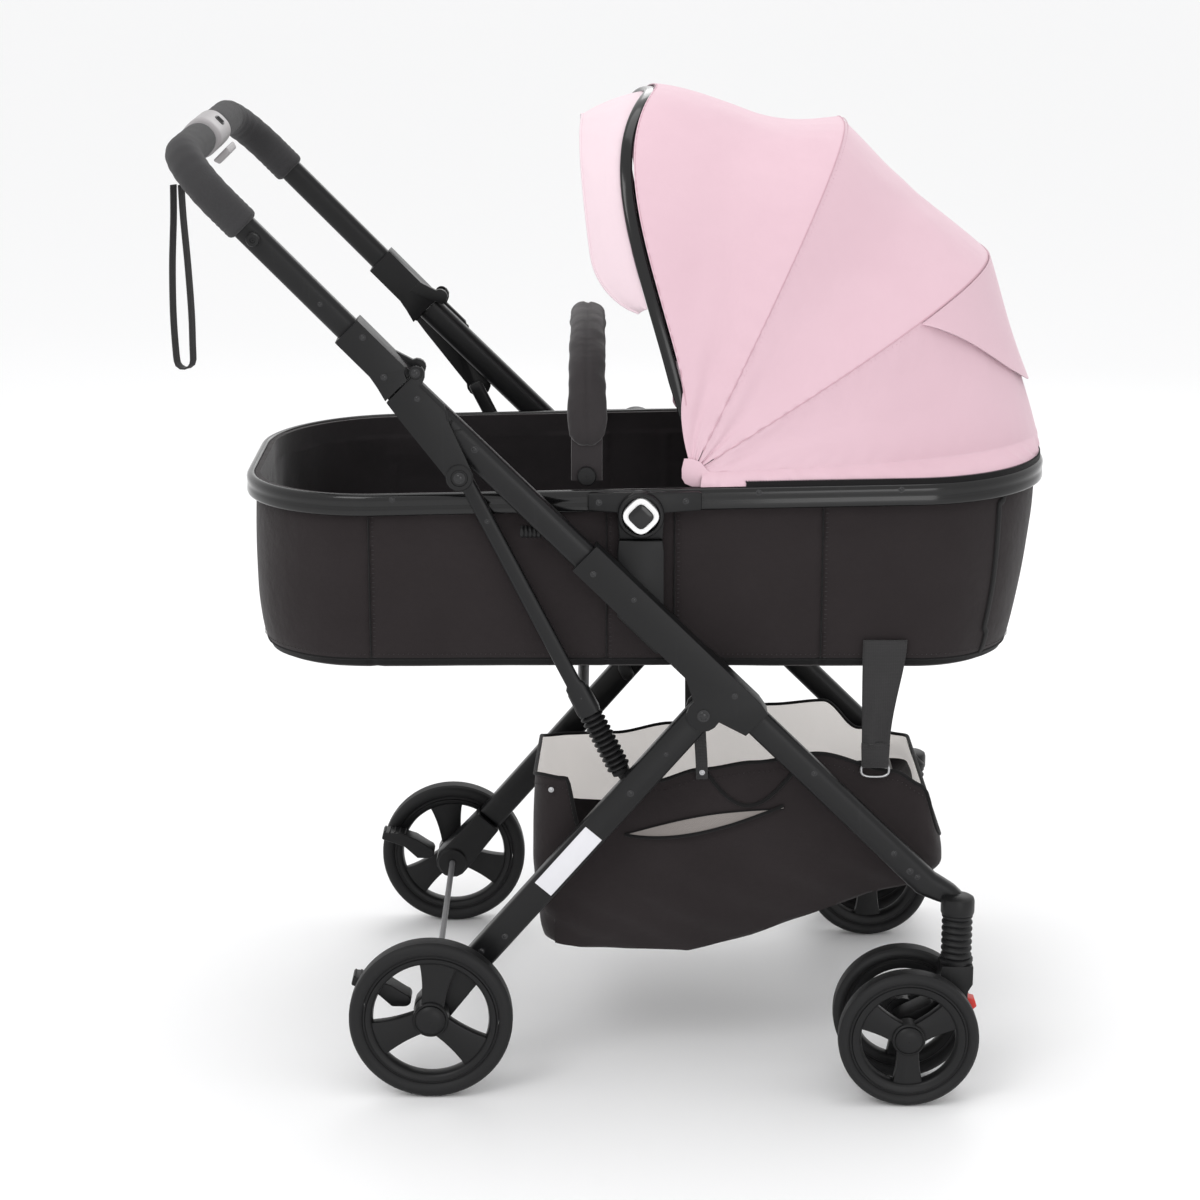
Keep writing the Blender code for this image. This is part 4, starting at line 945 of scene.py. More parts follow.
def barStations(start, yEnd, side, corners=24, armSteps=18):
    v = handleValues
    cornerV, cornerY = v["reach"] - v["corner"], side * (frameLines["frameY"] - v["corner"])
    stations = [(start + (cornerV - start) * i / armSteps, side * frameLines["frameY"], (1.0, 0.0))
                for i in range(armSteps)]
    for i in range(corners + 1):
        a = math.radians(90 * i / corners)
        stations.append((cornerV + v["corner"] * math.sin(a), cornerY + side * v["corner"] * math.cos(a),
                         (math.cos(a), -side * math.sin(a))))
    for i in range(1, 13):
        stations.append((v["reach"], cornerY + (yEnd - cornerY) * i / 12, (0.0, -side)))
    return stations


def barRing(station, halfIn, halfUp, power=3.0, count=32):
    v, y, (tv, ty) = station
    a = math.radians(frameLines["handleSlope"])
    down, up = Vector((math.cos(a), 0, -math.sin(a))), Vector((math.sin(a), 0, math.cos(a)))
    x, z = onHandle(-v, 0.0)
    along = Vector((-down.x * tv, ty, -down.z * tv))
    return ovalRing((x, y, z), along.cross(up), up, halfIn, halfUp, power, count)


def makeHandle():
    v = handleValues
    right = barStations(0.0009, 0.0, -1)
    left = barStations(0.0009, 0.0, 1)
    back = [(a, y, (-tv, -ty)) for a, y, (tv, ty) in reversed(left[:-1])]
    bar = skinPiece("handlebar", [barRing(st, v["halfY"], v["halfH"]) for st in right + back], "frame")
    settle(bar, "handle", "frame_black", "handlebar_tube")
    for tag, side in sides.items():
        stations = barStations(v["gripStart"], side * (v["housingHalfY"] + 0.0008), side)
        total = len(stations)
        rings = []
        for i, st in enumerate(stations):
            endEase = min(i, total - 1 - i)
            swell = v["gripRadius"] * (0.80, 0.93, 0.985, 1.0)[min(endEase, 3)]
            swell += 0.00025 * math.sin(i * 1.7) * (endEase > 3)
            rings.append(barRing(st, swell, swell, 2.2, 40))
        first, last = stations[0], stations[-1]
        rings = [barRing(first, v["halfY"] + 0.0004, v["halfH"] + 0.0004, 3.0, 40)] + rings
        rings.append(barRing(last, v["halfY"] + 0.0004, v["halfH"] + 0.0004, 3.0, 40))
        inner = [barRing(st, v["halfY"] + 0.0004, v["halfH"] + 0.0004, 3.0, 40)
                 for st in reversed(stations[1:-1])]
        grip = skinPiece("grip_" + tag, rings + inner, "foam", True, 60)
        settle(grip, "handle", "foam", "grip_" + tag)
        makeHandleEnd(tag, side)
    makeReleaseHousing()
    peg = sidePoint(onHandle(-0.2120, 0.0), -0.2504)
    cup = lathePiece("cupHolderPeg", peg,
                     [(0.0070, 0.0), (0.0070, -0.0030), (0.0052, -0.0040), (0.0052, -0.0085),
                      (0.0070, -0.0095),
                                          (0.0064, -0.0112), (0.0030, -0.0116), (0.0026, -0.0105),
                      (0.0005, -0.0105), (0.0005, 0.0)],
                     "plastic", 40)
    settle(cup, "handle", "plastic_black", "cup_holder_peg")


def makeHandleEnd(tag, side):
    settleCad("handle_sleeve_" + tag, "plastic", 0.0014, 3, "handle", "plastic_black")
    rivets = rivetsAlong(onHandle, side, ((-0.064, 0.008, 0.2586, 0.0028), (-0.020, -0.006, 0.2586, 0.0028),
                                          (-0.118, 0.0, 0.2498, 0.0022)))
    rivetPiece("handleRivets_" + tag, rivets, "handle")


def makeReleaseHousing():
    v = handleValues
    half = v["housingHalfY"]
    rings = []
    ends = ((half, 0.84), (half - 0.0012, 0.95), (half - 0.004, 1.0))
    profile = list(ends) + [(y, 1.0) for y in np.linspace(half - 0.012, -half + 0.012, 12)] + [(-y, k) for y,
            k in reversed(ends)]
    for y, k in profile:
        rings.append(barRing((v["reach"], y, (0.0, -1.0)), v["housingRadius"] * k, v["housingRadius"] * k,
                             2.5, 44))
    inner = [barRing((v["reach"], y, (0.0, -1.0)), v["halfY"] + 0.0004, v["halfH"] + 0.0004, 3.0, 44)
             for y in (-half, half)]
    housing = skinPiece("releaseHousing", rings + inner, "grey", True, 50)
    settle(housing, "handle", "grey_plastic", "release_housing")
    settleCad("release_trigger", "grey", 0.0022, 4, "trigger", "grey_plastic")
    centre = Vector(sidePoint(onHandle(-v["reach"], v["housingRadius"] - 0.0010), 0.0))
    a = math.radians(frameLines["handleSlope"])
    along, up = Vector((math.cos(a), 0, -math.sin(a))), Vector((math.sin(a), 0, math.cos(a)))
    rings = [ovalRing(centre + up * h + Vector((0, 0.006, 0)), (0, 1, 0), along, 0.0105 * k, 0.0062 * k, 3.0,
                      32)
             for h, k in ((-0.003, 1.0), (0.0014, 1.0), (0.0020, 0.9), (0.0017, 0.4))]
    settle(skinPiece("lockSlide", rings, "plastic", False, 40), "handle", "plastic_black")
    ribs = [sweepPiece("slideRib",
                       [centre + up * 0.0021 + Vector((0, 0.006 + 0.0028 * k, 0)) - along * 0.0042,
                                    centre + up * 0.0021 + Vector((0, 0.006 + 0.0028 * k, 0)) + along
                        * 0.0042], "plastic", 0.0006, 0.0006, (0, 1, 0), 2.0, 8)
            for k in (-2, -1, 0, 1, 2)]
    settle(joinPieces("lockSlideRibs", ribs), "handle", "plastic_black")


makeHandle()
print("handle ready")

# ---- rear frame and struts

legValues = {"halfWidth": 0.0155, "inner": 0.2290, "outer": 0.2480, "length": 0.3790, "label": (0.178, 0.262)}


def makeRearLeg(tag, side):
    v = legValues
    top = [onLeg(*p) for p in arcPoints((0, 0), v["halfWidth"], 90, 270, 24)]
    foot = [onLeg(v["length"], t) for t in (-v["halfWidth"], v["halfWidth"])]
    leg = platePiece("rearLeg_" + tag, top + foot, *span(side, v["inner"], v["outer"]), "frame", 0.0040, 50)
    settle(leg, "rear_frame", "frame_black", "rear_leg_" + tag)
    settleCad("brake_housing_" + tag, "plastic", 0.0014, 3, "rear_frame", "plastic_black")
    rivets = rivetsAlong(onLeg, side, ((0.118, 0.0, 0.2480, 0.0030), (0.330, 0.004, 0.2480, 0.0026),
                                       (0.360, -0.004, 0.2480, 0.0030), (0.060, 0.0, 0.2480, 0.0020)))
    rivetPiece("legRivets_" + tag, rivets, "rear_frame")
    if tag == "r":
        start, end = v["label"]
        outline = [onLeg(start, -0.0115), onLeg(end, -0.0115), onLeg(end, 0.0115), onLeg(start, 0.0115)]
        label = platePiece("blankLabel", outline, *span(side, v["outer"] - 0.0002, v["outer"] + 0.0003),
                           "blankLabel", 0.0001)
        settle(label, "rear_frame", "white_ring")
    guard = lathePiece("brakeDrum_" + tag, sidePoint(frameLines["rearAxle"], side * 0.2228),
                       [(0.0185, 0.0), (0.0185, -side * 0.0010), (0.0165, -side * 0.0030),
                        (0.0060, -side * 0.0034),
                        (0.0040, -side * 0.0034), (0.0040, 0.0)], "plastic", 48)
    settle(guard, "rear_frame", "plastic_black")


def makeBrakePedal(tag, side):
    settleCad("brake_pedal_" + tag, "plastic", 0.0016, 3, "brake_lever_" + tag, "plastic_black")
    ribs = []
    for k, z in enumerate((0.1283, 0.1278, 0.1272, 0.1262, 0.1250)):
        x = -0.2840 + 0.0062 * k
        ribs.append(sweepPiece("treadRib", [(x, side * 0.2250, z), (x, side * 0.2460, z)], "rubber", 0.0009,
                               0.0009, (1, 0, 0), 2.0, 10))
    settle(joinPieces("pedalTread_" + tag, ribs), "brake_lever_" + tag, "rubber")


def makeStrut(tag, side):
    sideways = strutSideways()
    boot = bootPiece("strutBoot_" + tag, sidePoint(onStrut(0.3004, 0.0), side * 0.2182),
                     sidePoint(onStrut(0.3690, 0.0), side * 0.2182),
                     11, 0.0088, 0.0042)
    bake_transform(boot)
    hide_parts("strut_gaiter_" + tag)
    collar = []
    for s, w, t in ((0.268, 0.0100, 0.0060), (0.271, 0.0122, 0.0080), (0.2945, 0.0128, 0.0088),
                    (0.2995, 0.0118, 0.0080), (0.3000, 0.0095, 0.0060)):
        x, z = onStrut(s, 0.0)
        collar.append(ovalRing((x, side * 0.2192, z), (0, 1, 0), sideways, t, w, 4.0, 40))
    settle(skinPiece("strutCollar_" + tag, collar, "plastic"), "struts", "plastic_black")
    cuff = [ovalRing((onStrut(s, 0)[0], side * 0.2182, onStrut(s, 0)[1]), (0, 1, 0), sideways, t, w, 3.0, 36)
            for s, w, t in ((0.3690, 0.0085, 0.0070), (0.3700, 0.0098, 0.0085), (0.3740, 0.0098, 0.0085),
                            (0.3760, 0.0060, 0.0050))]
    settle(skinPiece("strutCuff_" + tag, cuff, "rubber"), "strut_rods", "rubber")
    settleCad("strut_foot_" + tag, "plastic", 0.0, 2, "strut_rods", "plastic_black")
    rivets = rivetsAlong(onStrut, side, ((0.278, 0.0, 0.2277, 0.0020), (0.060, 0.0, 0.2283, 0.0020)))
    rivetPiece("strutRivets_" + tag, rivets, "struts")


def makeStrutTubes():
    cross = onStrut(0.2825, 0.0)
    sideways = strutSideways()
    pieces = []
    for side in sides.values():
        rings = [ovalRing((onStrut(s, 0)[0], side * 0.2240, onStrut(s, 0)[1]), (0, 1, 0), sideways, t, w,
                          3.4, 36)
                 for s, w, t in [(-0.0085, 0.0060, 0.0036), (-0.0070, 0.0078, 0.0042)]
                 + [(0.01 * i, 0.0082, 0.0045) for i in range(27)]
                 + [(0.264, 0.0110, 0.0045), (0.2990, 0.0110, 0.0045)]]
        pieces.append(skinPiece("strut", rings, "frame"))
    settle(joinPieces("strutTubes", pieces), "struts", "frame_black", "strut_frame")
    bar = sweepPiece("strutCrossTube", [sidePoint(cross, y) for y in np.linspace(-0.2150, 0.2150, 9)],
                     "greyTube", 0.0062, 0.0062, (0, 0, 1), 2.0, 32)
    settle(bar, "struts", "steel")


for tag, side in sides.items():
    makeRearLeg(tag, side)
    makeBrakePedal(tag, side)
    makeStrut(tag, side)
makeStrutTubes()
axleRod = sweepPiece("rearAxleRod",
                     [sidePoint(frameLines["rearAxle"], y) for y in np.linspace(-0.2222, 0.2222, 9)],
                     "greyTube",
                     0.0035, 0.0035, (0, 0, 1), 2.0, 24)
settle(axleRod, "rear_frame", "steel", "rear_axle")
print("rear frame ready")

# ---- wheels

rearWheelValues = {"y": 0.2650, "radius": 0.0890, "rim": 0.0740, "window": 0.0640, "hub": 0.0195,
                   "halfWidth": 0.0140,
                   "spokes": (8, 128, 248), "spokeIn": 0.0125, "spokeOut": 0.0215}
frontWheelValues = {"radius": 0.0760, "rim": 0.0640, "window": 0.0520, "hub": 0.0180, "halfWidth": 0.0130,
                    "offset": 0.0375,
                    "spokes": (180, 300, 60), "spokeIn": 0.0115, "spokeOut": 0.0170}


def spokeOutline(centre, turn, inner, outer, halfIn, halfOut):
    # a fan with hollow flanks; turn is clockwise from straight up, seen from the right side
    left, right = [], []
    for i in range(15):
        share = i / 14
        r = inner + (outer - inner) * share
        w = halfIn + (halfOut - halfIn) * share ** 2.2
        left.append((r, -w))
        right.append((r, w))
    a = math.radians(turn)
    outline = []
    for r, w in left + list(reversed(right)):
        outline.append((centre[0] + r * math.sin(a) + w * math.cos(a),
                        centre[1] + r * math.cos(a) - w * math.sin(a)))
    return outline


def makeWheel(name, centre, y, side, values, body, finishRim, node, tyreNode=None):
    v = values
    place = sidePoint(centre, y)
    o, half = side, v["halfWidth"]
    rim, window, hub = v["rim"], v["window"], v["hub"]
    ring = lathePiece("rimRing", place,
                      [(window, -half * 0.50), (window - 0.0014, 0.0), (window, half * 0.50),
                       (window + 0.0012, half * 0.62),
                                         (window + 0.0035, half * 0.72), (rim - 0.0032, half * 0.76),
                       (rim - 0.0022, half * 0.66),
                                         (rim - 0.0003, half * 0.66), (rim - 0.0003, -half * 0.66),
                       (rim - 0.0022, -half * 0.66),
                                         (rim - 0.0032, -half * 0.76), (window + 0.0035, -half * 0.72),
                       (window + 0.0012, -half * 0.62)],
                      finishRim, 96)
    pieces = [ring]
    for turn in v["spokes"]:
        outline = spokeOutline(centre, turn, hub * 0.6, window + 0.0015, v["spokeIn"], v["spokeOut"])
        pieces.append(platePiece("spoke", outline, y - half * 0.46, y + half * 0.46, finishRim, 0.0016, 50))
    capOut = half + 0.0012
    pieces.append(lathePiece("hub", place,
                             [(hub, -o * half * 0.80), (hub, o * half * 0.62),
                              (hub - 0.0010, o * half * 0.70),
                                            (hub - 0.0022, o * half * 0.70), (hub - 0.0024, o * half * 0.62),
                                            (hub - 0.0030, o * half * 0.62),
                              (hub - 0.0032, o * (half * 0.80)),
                                            (hub * 0.66, o * (capOut - 0.0008)), (hub * 0.34, o * capOut),
                              (0.0004, o * (capOut + 0.0002)),
                                            (0.0004, -o * half * 0.80)], finishRim, 64))
    wheel = joinPieces(name, pieces)
    shadeByAngle(wheel.data, 38)
    settle(wheel, body, "plastic_black" if tyreNode else "tyre", node)
    outer = v["radius"]
    tyreProfile = []
    for w, r in ((-0.70, rim), (-0.86, rim + 0.0016), (-0.97, rim + 0.35 * (outer - rim)),
                 (-1.0, rim + 0.55 * (outer - rim)), (-0.93, outer - 0.0034),
                 (-0.80, outer - 0.0014), (-0.66, outer - 0.0004), (-0.60, outer - 0.0012),
                 (-0.55, outer - 0.0003), (-0.3, outer), (0.0, outer),
                 (0.3, outer), (0.55, outer - 0.0003), (0.60, outer - 0.0012), (0.66, outer - 0.0004),
                 (0.80, outer - 0.0014),
                 (0.93, outer - 0.0034), (1.0, rim + 0.55 * (outer - rim)),
                 (0.985, rim + 0.45 * (outer - rim)), (0.93, rim + 0.40 * (outer - rim)),
                 (0.97, rim + 0.35 * (outer - rim)), (0.86, rim + 0.0016), (0.70, rim)):
        tyreProfile.append((r, w * half))
    tyre = lathePiece(name + "_tyre", place, tyreProfile, "tyre", 112)
    settle(tyre, body, "tyre")
    if tyreNode:
        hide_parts(tyreNode)


for tag, side in sides.items():
    v = rearWheelValues
    turns = v["spokes"] if side < 0 else tuple(-t for t in v["spokes"])
    makeWheel("rearWheel_" + tag, frameLines["rearAxle"], side * v["y"], side, dict(v, spokes=turns),
              "rear_wheel_set_" + tag, "plastic",
              "rear_wheel_" + tag, "rear_tyre_" + tag)
    for place, sign in (("outer", 1), ("inner", -1)):
        y = side * (frameLines["swivelY"] + sign * frontWheelValues["offset"])
        makeWheel(f"frontWheel_{tag}_{place}", frameLines["frontAxle"], y, side * sign, frontWheelValues,
                  f"castor_wheel_{tag}_{place}", "plastic", f"front_wheel_{tag}_{place}")
print("wheels ready")

# ---- castors

castorValues = {"bootBottom": 0.1495, "bootTop": 0.2130, "ribs": 7, "bootCore": 0.0142, "ribHeight": 0.0026}


def makeCastor(tag, side):
    v = castorValues
    x, y = frameLines["swivelX"], side * frameLines["swivelY"]
    settleCad("castor_fork_" + tag, "plastic", 0.0016, 3, "castor_" + tag, "plastic_black")
    settleCad("swivel_lock_" + tag, "red", 0.0012, 3, "lock_tab_" + tag, "red_plastic")
    post = sweepPiece("castorPost_" + tag, [(x, y, z) for z in (0.1490, 0.16, 0.17, 0.18, 0.19, 0.2020)],
                      "steel", 0.0085, 0.0085, (0, 1, 0), 2.0, 28)
    settle(post, "castor_stem_" + tag, "steel", "front_post_" + tag)
    boot = bootPiece("castorBoot_" + tag, (x, y, v["bootBottom"] + 0.004), (x, y, v["bootTop"] - 0.007),
                     v["ribs"], v["bootCore"], v["ribHeight"])
    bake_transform(boot)
    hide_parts("front_gaiter_" + tag)
    cap = lathePiece("castorCap_" + tag, (x, y, 0),
                     [(0.0150, 0.2040), (0.0176, 0.2050), (0.0182, 0.2070), (0.0182, 0.2190),
                      (0.0172, 0.2225),
                                                     (0.0140, 0.2245), (0.0004, 0.2250), (0.0004, 0.2040)],
                     "plastic", 56, 35, "z")
    settle(cap, "chassis", "plastic_black")
    foot = lathePiece("castorFoot_" + tag, (x, y, 0),
                      [(0.0095, 0.1490), (0.0176, 0.1490), (0.0182, 0.1505), (0.0182, 0.1535),
                       (0.0160, 0.1550),
                                                       (0.0095, 0.1550)], "rubber", 56, 35, "z")
    settle(foot, "castor_stem_" + tag, "rubber")


for tag, side in sides.items():
    makeCastor(tag, side)
print("castors ready")

# ---- cot: rim, hubs, tub, mattress

cotValues = {"x": (-0.4050, 0.4685), "halfY": 0.2170, "corner": 0.150, "band": 0.0088, "z": (0.6410, 0.6645),
             "tilt": 0.020,
             "bottomZ": 0.4655, "hub": (0.0260, 0.6400), "seams": (-0.262, -0.0100, 0.0620, 0.2190, 0.4020)}


def planRing(xLow, xHigh, halfY, corner, z, tilt=0.0, perCorner=28, straight=60, ends=16):
    # a rounded rectangle in plan, starting at the head end's right corner and going clockwise from above
    ring = []

    def put(x, y):
        ring.append((x, y, z + tilt * x))

    centres = [(xLow + corner, corner - halfY), (xLow + corner, halfY - corner),
               (xHigh - corner, halfY - corner), (xHigh - corner, corner - halfY)]
    for k in range(4):
        (x0, y0), (x1, y1) = centres[k - 1], centres[k]
        start = -math.pi / 2 * (1 + k)
        steps = ends if k % 2 else straight
        for i in range(steps):
            put(x0 + (x1 - x0) * i / steps + corner * math.cos(start),
                y0 + (y1 - y0) * i / steps + corner * math.sin(start))
        for i in range(perCorner):
            a = start - math.pi / 2 * i / perCorner
            put(x1 + corner * math.cos(a), y1 + corner * math.sin(a))
    return ring


def rimRing(inset, z):
    v = cotValues
    return planRing(v["x"][0] + inset, v["x"][1] - inset, v["halfY"] - inset, v["corner"] - inset, z,
                    v["tilt"])


def makeRim():
    low, high = cotValues["z"]
    band = cotValues["band"]
    section = [(0.0022, low), (0.0006, low + 0.0012), (0.0, low + 0.0032), (0.0004, low + 0.0090),
               (0.0010, low + 0.0110), (0.0004, low + 0.0130),
               (0.0, high - 0.0055), (0.0008, high - 0.0030), (0.0026, high - 0.0008), (0.0048, high),
               (band - 0.0010, high - 0.0006),
               (band, high - 0.0020), (band, low + 0.0010), (band - 0.0010, low)]
    rim = skinPiece("cotRim", [rimRing(inset, z) for inset, z in section], "gloss", True, 50)
    hubs = []
    for side in sides.values():
        bar = [(-0.0300, 0.6440), (0.0010, 0.6415), (0.0030, 0.6130), (0.0050, 0.6125), (0.0470, 0.6125),
               (0.0490, 0.6130), (0.0510, 0.6415),
               (0.0880, 0.6440), (0.0900, 0.6460), (0.0900, 0.6620), (0.0880, 0.6640), (-0.0280, 0.6625),
               (-0.0300, 0.6605)]
        hubs.append(platePiece("hubBar", bar, *span(side, cotValues["halfY"] - 0.0031, 0.2240), "plastic",
                               0.0014, 50))
        x, z = cotValues["hub"]
        s = side
        hubs.append(lathePiece("hubBoss", (x, 0, z),
                               [(0.0245, s * 0.2150), (0.0245, s * 0.2305), (0.0238, s * 0.2322),
                                (0.0222, s * 0.2330),
                                                      (0.0206, s * 0.2330), (0.0202, s * 0.2318),
                                (0.0202, s * 0.2180), (0.0004, s * 0.2180),
                                                      (0.0004, s * 0.2150)], "plastic", 72))
    hubPiece = joinPieces("cotHubs", hubs)
    shadeByAngle(hubPiece.data, 45)
    settle(rim, "cot", "gloss_black", "cot_rim")
    settle(hubPiece, "cot", "plastic_black")
    rivets = []
    for side in sides.values():
        out = (0, side, 0)
        for x, z in ((-0.018, 0.6530), (0.073, 0.6545)):
            rivets.append(((x, side * 0.2240, z), out, 0.0026))
        for x in (-0.236, 0.150, 0.300):
            rivets.append(((x, side * 0.2166, 0.6590 + cotValues["tilt"] * x), out, 0.0024))
        rivets.append(((0.026, side * 0.2242, 0.6190), out, 0.0018))
    rivetPiece("cotRivets", rivets, "cot")


def makeButtons():
    x, z = cotValues["hub"]
    diagonal = math.sqrt(0.5)
    across, upward = (diagonal, 0, diagonal), (-diagonal, 0, diagonal)
    for tag, side in sides.items():
        def ring(y, size, power):
            return ovalRing((x, side * y, z), across, upward, size, size, power, 64)
        face = [ring(0.2225, 0.0165, 3.2), ring(0.2352, 0.0165, 3.2), ring(0.2360, 0.0158, 3.2),
                ring(0.2361, 0.0145, 3.2),
                ring(0.2358, 0.0128, 3.4), ring(0.2350, 0.0122, 3.6), ring(0.2349, 0.0116, 3.8)]
        settle(skinPiece("buttonRing_" + tag, face, "white", False, 45), "button_" + tag, "white_ring",
               "release_button_" + tag)
        heart = [ring(0.2345, 0.0112, 4.0), ring(0.2356, 0.0112, 4.0), ring(0.2362, 0.0100, 4.0),
                 ring(0.2364, 0.0060, 3.5)]
        settle(skinPiece("buttonHeart_" + tag, heart, "gloss", False, 45), "button_" + tag, "plastic_black")


tubValues = {"wall": 0.006, "sag": 0.0042, "wrinkle": 0.0024, "rows": 44, "stitchShift": 0.0042}


def tubLevel(share):
    # xLow, xHigh, halfY, corner, z and tilt of the tub's outside at a share of the way down
    inset = cotValues["band"] + 0.0004
    levels = [(cotValues["x"][0] + inset, cotValues["x"][1] - inset, cotValues["halfY"] - inset, 0.141,
               0.6625, 0.020),
              (cotValues["x"][0] + inset, cotValues["x"][1] - inset, cotValues["halfY"] - inset, 0.141,
               0.6385, 0.020),
              (-0.3960, 0.4560, 0.2110, 0.135, 0.6000, 0.018),
              (-0.3930, 0.4450, 0.2108, 0.120, 0.5400, 0.010),
              (-0.3870, 0.4325, 0.2075, 0.110, 0.4880, 0.000),
              (-0.3800, 0.4250, 0.2010, 0.104, 0.4720, 0.000)]
    place = share * (len(levels) - 1)
    i = min(int(place), len(levels) - 2)
    t = place - i
    if i == 0:
        return [a + (b - a) * t for a, b in zip(levels[0], levels[1])]
    before, after = levels[max(i - 1, 1)], levels[min(i + 2, len(levels) - 1)]
    out = []
    for p0, p1, p2, p3 in zip(before, levels[i], levels[i + 1], after):
        out.append(0.5 * (2 * p1 + (p2 - p0) * t + (2 * p0 - 5 * p1 + 4 * p2 - p3) * t * t
                          + (3 * p1 - p0 - 3 * p2 + p3) * t ** 3))
    return out


def seamPull(x, flat):
    # how far cloth lies from a sewn line, 0 on it and 1 away from it
    pull = 1.0
    if flat:
        for seam in cotValues["seams"]:
            d = abs(x - seam)
            pull = min(pull, 1 - math.exp(-(d / 0.0035) ** 2))
    return pull


def tubRing(share, inset, inside=False):
    xLow, xHigh, halfY, corner, z, tilt = tubLevel(share)
    ring = planRing(xLow + inset, xHigh - inset, halfY - inset, corner - inset, z, tilt, 36, 170, 30)
    count = len(ring)
    out = []
    for i, (x, y, zz) in enumerate(ring):
        a, b = Vector(ring[i - 1]), Vector(ring[(i + 1) % count])
        normal = Vector((-(b - a).y, (b - a).x, 0)).normalized()
        if normal.dot(Vector((x - 0.03, y, 0))) < 0:
            normal = -normal
        flat = abs(abs(y) - (halfY - inset)) < 0.004 and -0.30 < x < 0.42
        hang = math.sin(math.pi * min(max((share - 0.2) / 0.8, 0), 1))
        seed = 7.0 if inside else 0.0
        crease = noise.noise(Vector((x * 9 + seed, y * 9, zz * 22))) * 0.6 + noise.noise(Vector((x * 26,
                y * 26 + seed, zz * 9))) * 0.4
        move = tubValues["wrinkle"] * crease * (1.6 if inside else 1.0) * min(1, share * 6)
        bulge = tubValues["sag"] * 0.5 * hang * (0.5 + 0.5 * noise.noise(Vector((x * 3.1, y * 3.1, 2.0))))
        pull = seamPull(x, flat)
        pucker = 0.0006 * math.sin(zz * 420 + 3
                                   * noise.noise(Vector((x * 8, 0, zz * 30)))) * math.exp(-((1 - pull)
                                           - 0.5) ** 2 * 8) * (1 if flat else 0)
        move = (move - bulge * 0.4) * (0.35 + 0.65 * pull) - 0.0019 * (1 - pull) + pucker * 1.5
        if share < 0.2:
            move = 0.0
        p = Vector((x, y, zz)) + normal * (move if not inside else -abs(move) * 1.2)
        out.append(p)
    return out


def outFromMiddle(p, distance):
    return p + (p - Vector((0.022, 0, p.z))).normalized() * distance


def makeTub():
    rows = tubValues["rows"]
    outer = [tubRing(k / rows, 0.0) for k in range(rows + 1)]
    rim = outer[-1]
    bottomZ = cotValues["bottomZ"]
    under = []
    centre = Vector((0.022, 0, bottomZ))
    for inset, z in ((0.0028, bottomZ + 0.0030), (0.0070, bottomZ + 0.0006), (0.020, bottomZ + 0.0004)):
        ring = []
        for p in rim:
            flatDir = Vector((p.x - centre.x, p.y, 0))
            q = p - flatDir.normalized() * inset
            ring.append(Vector((q.x, q.y, z)))
        under.append(ring)
    floor = []
    for scale in (0.75, 0.4, 0.12):
        floor.append([Vector((centre.x + (p.x - centre.x) * scale, p.y * scale,
                              bottomZ + 0.0006 + 0.0004
                              * noise.noise(Vector((p.x * scale * 9, p.y * scale * 9, 0))))) for p in rim])
    inner = [tubRing(k / rows, tubValues["wall"], True) for k in range(rows + 1)]
    inner = [[Vector((p.x, p.y, max(p.z, bottomZ + 0.006))) for p in ring] for ring in inner]
    innerFloor = [[Vector((centre.x + (p.x - centre.x) * scale, p.y * scale, bottomZ + 0.0065))
                   for p in inner[-1]] for scale in (0.8, 0.4, 0.12)]
    rings = list(reversed(innerFloor)) + list(reversed(inner)) + outer + under + floor
    tub = skinPiece("cotTub", rings, "cloth", False, 60)
    tub.data.materials.append(finishes["clothInside"])
    perRing = len(rim)
    insideFaces = (len(innerFloor) + len(inner) - 1) * perRing
    marks = np.zeros(len(tub.data.polygons), dtype=np.int32)
    marks[:insideFaces] = 1
    marks[-2] = 1
    tub.data.polygons.foreach_set("material_index", marks)
    settle(tub, "cot", "black_fabric", "cot_shell")
    # the darker band round the foot of the tub, and its piping
    band = [[outFromMiddle(p, 0.0010) for p in ring] for ring in (outer[-5], outer[-2])]
    lower = [Vector((p.x, p.y, bottomZ + 0.0035)) + (p - Vector((0.022, 0, p.z))).normalized() * -0.0006
             for p in rim]
    hidden = [[outFromMiddle(p, -0.0030) for p in ring] for ring in (lower, outer[-2], outer[-5])]
    settle(skinPiece("tubBand", band + [lower] + hidden, "binding", True, 60), "cot", "black_fabric")
    pipe = sweepPiece("tubPiping", [outFromMiddle(p, 0.0004) for p in outer[-5][::2]], "binding", 0.0013,
                      0.0013,
                      (0, 0, 1), 2.0, 8, True)
    settle(pipe, "cot", "black_fabric")
    stitchLine = [outFromMiddle(p, 0.0004) for p in outer[-8][::2]]
    copiesPiece("tubStitches", stitchLine, 0.0052, stitchSource, "thread", "cot", "black_fabric", True)
    makeTubSeams(outer)


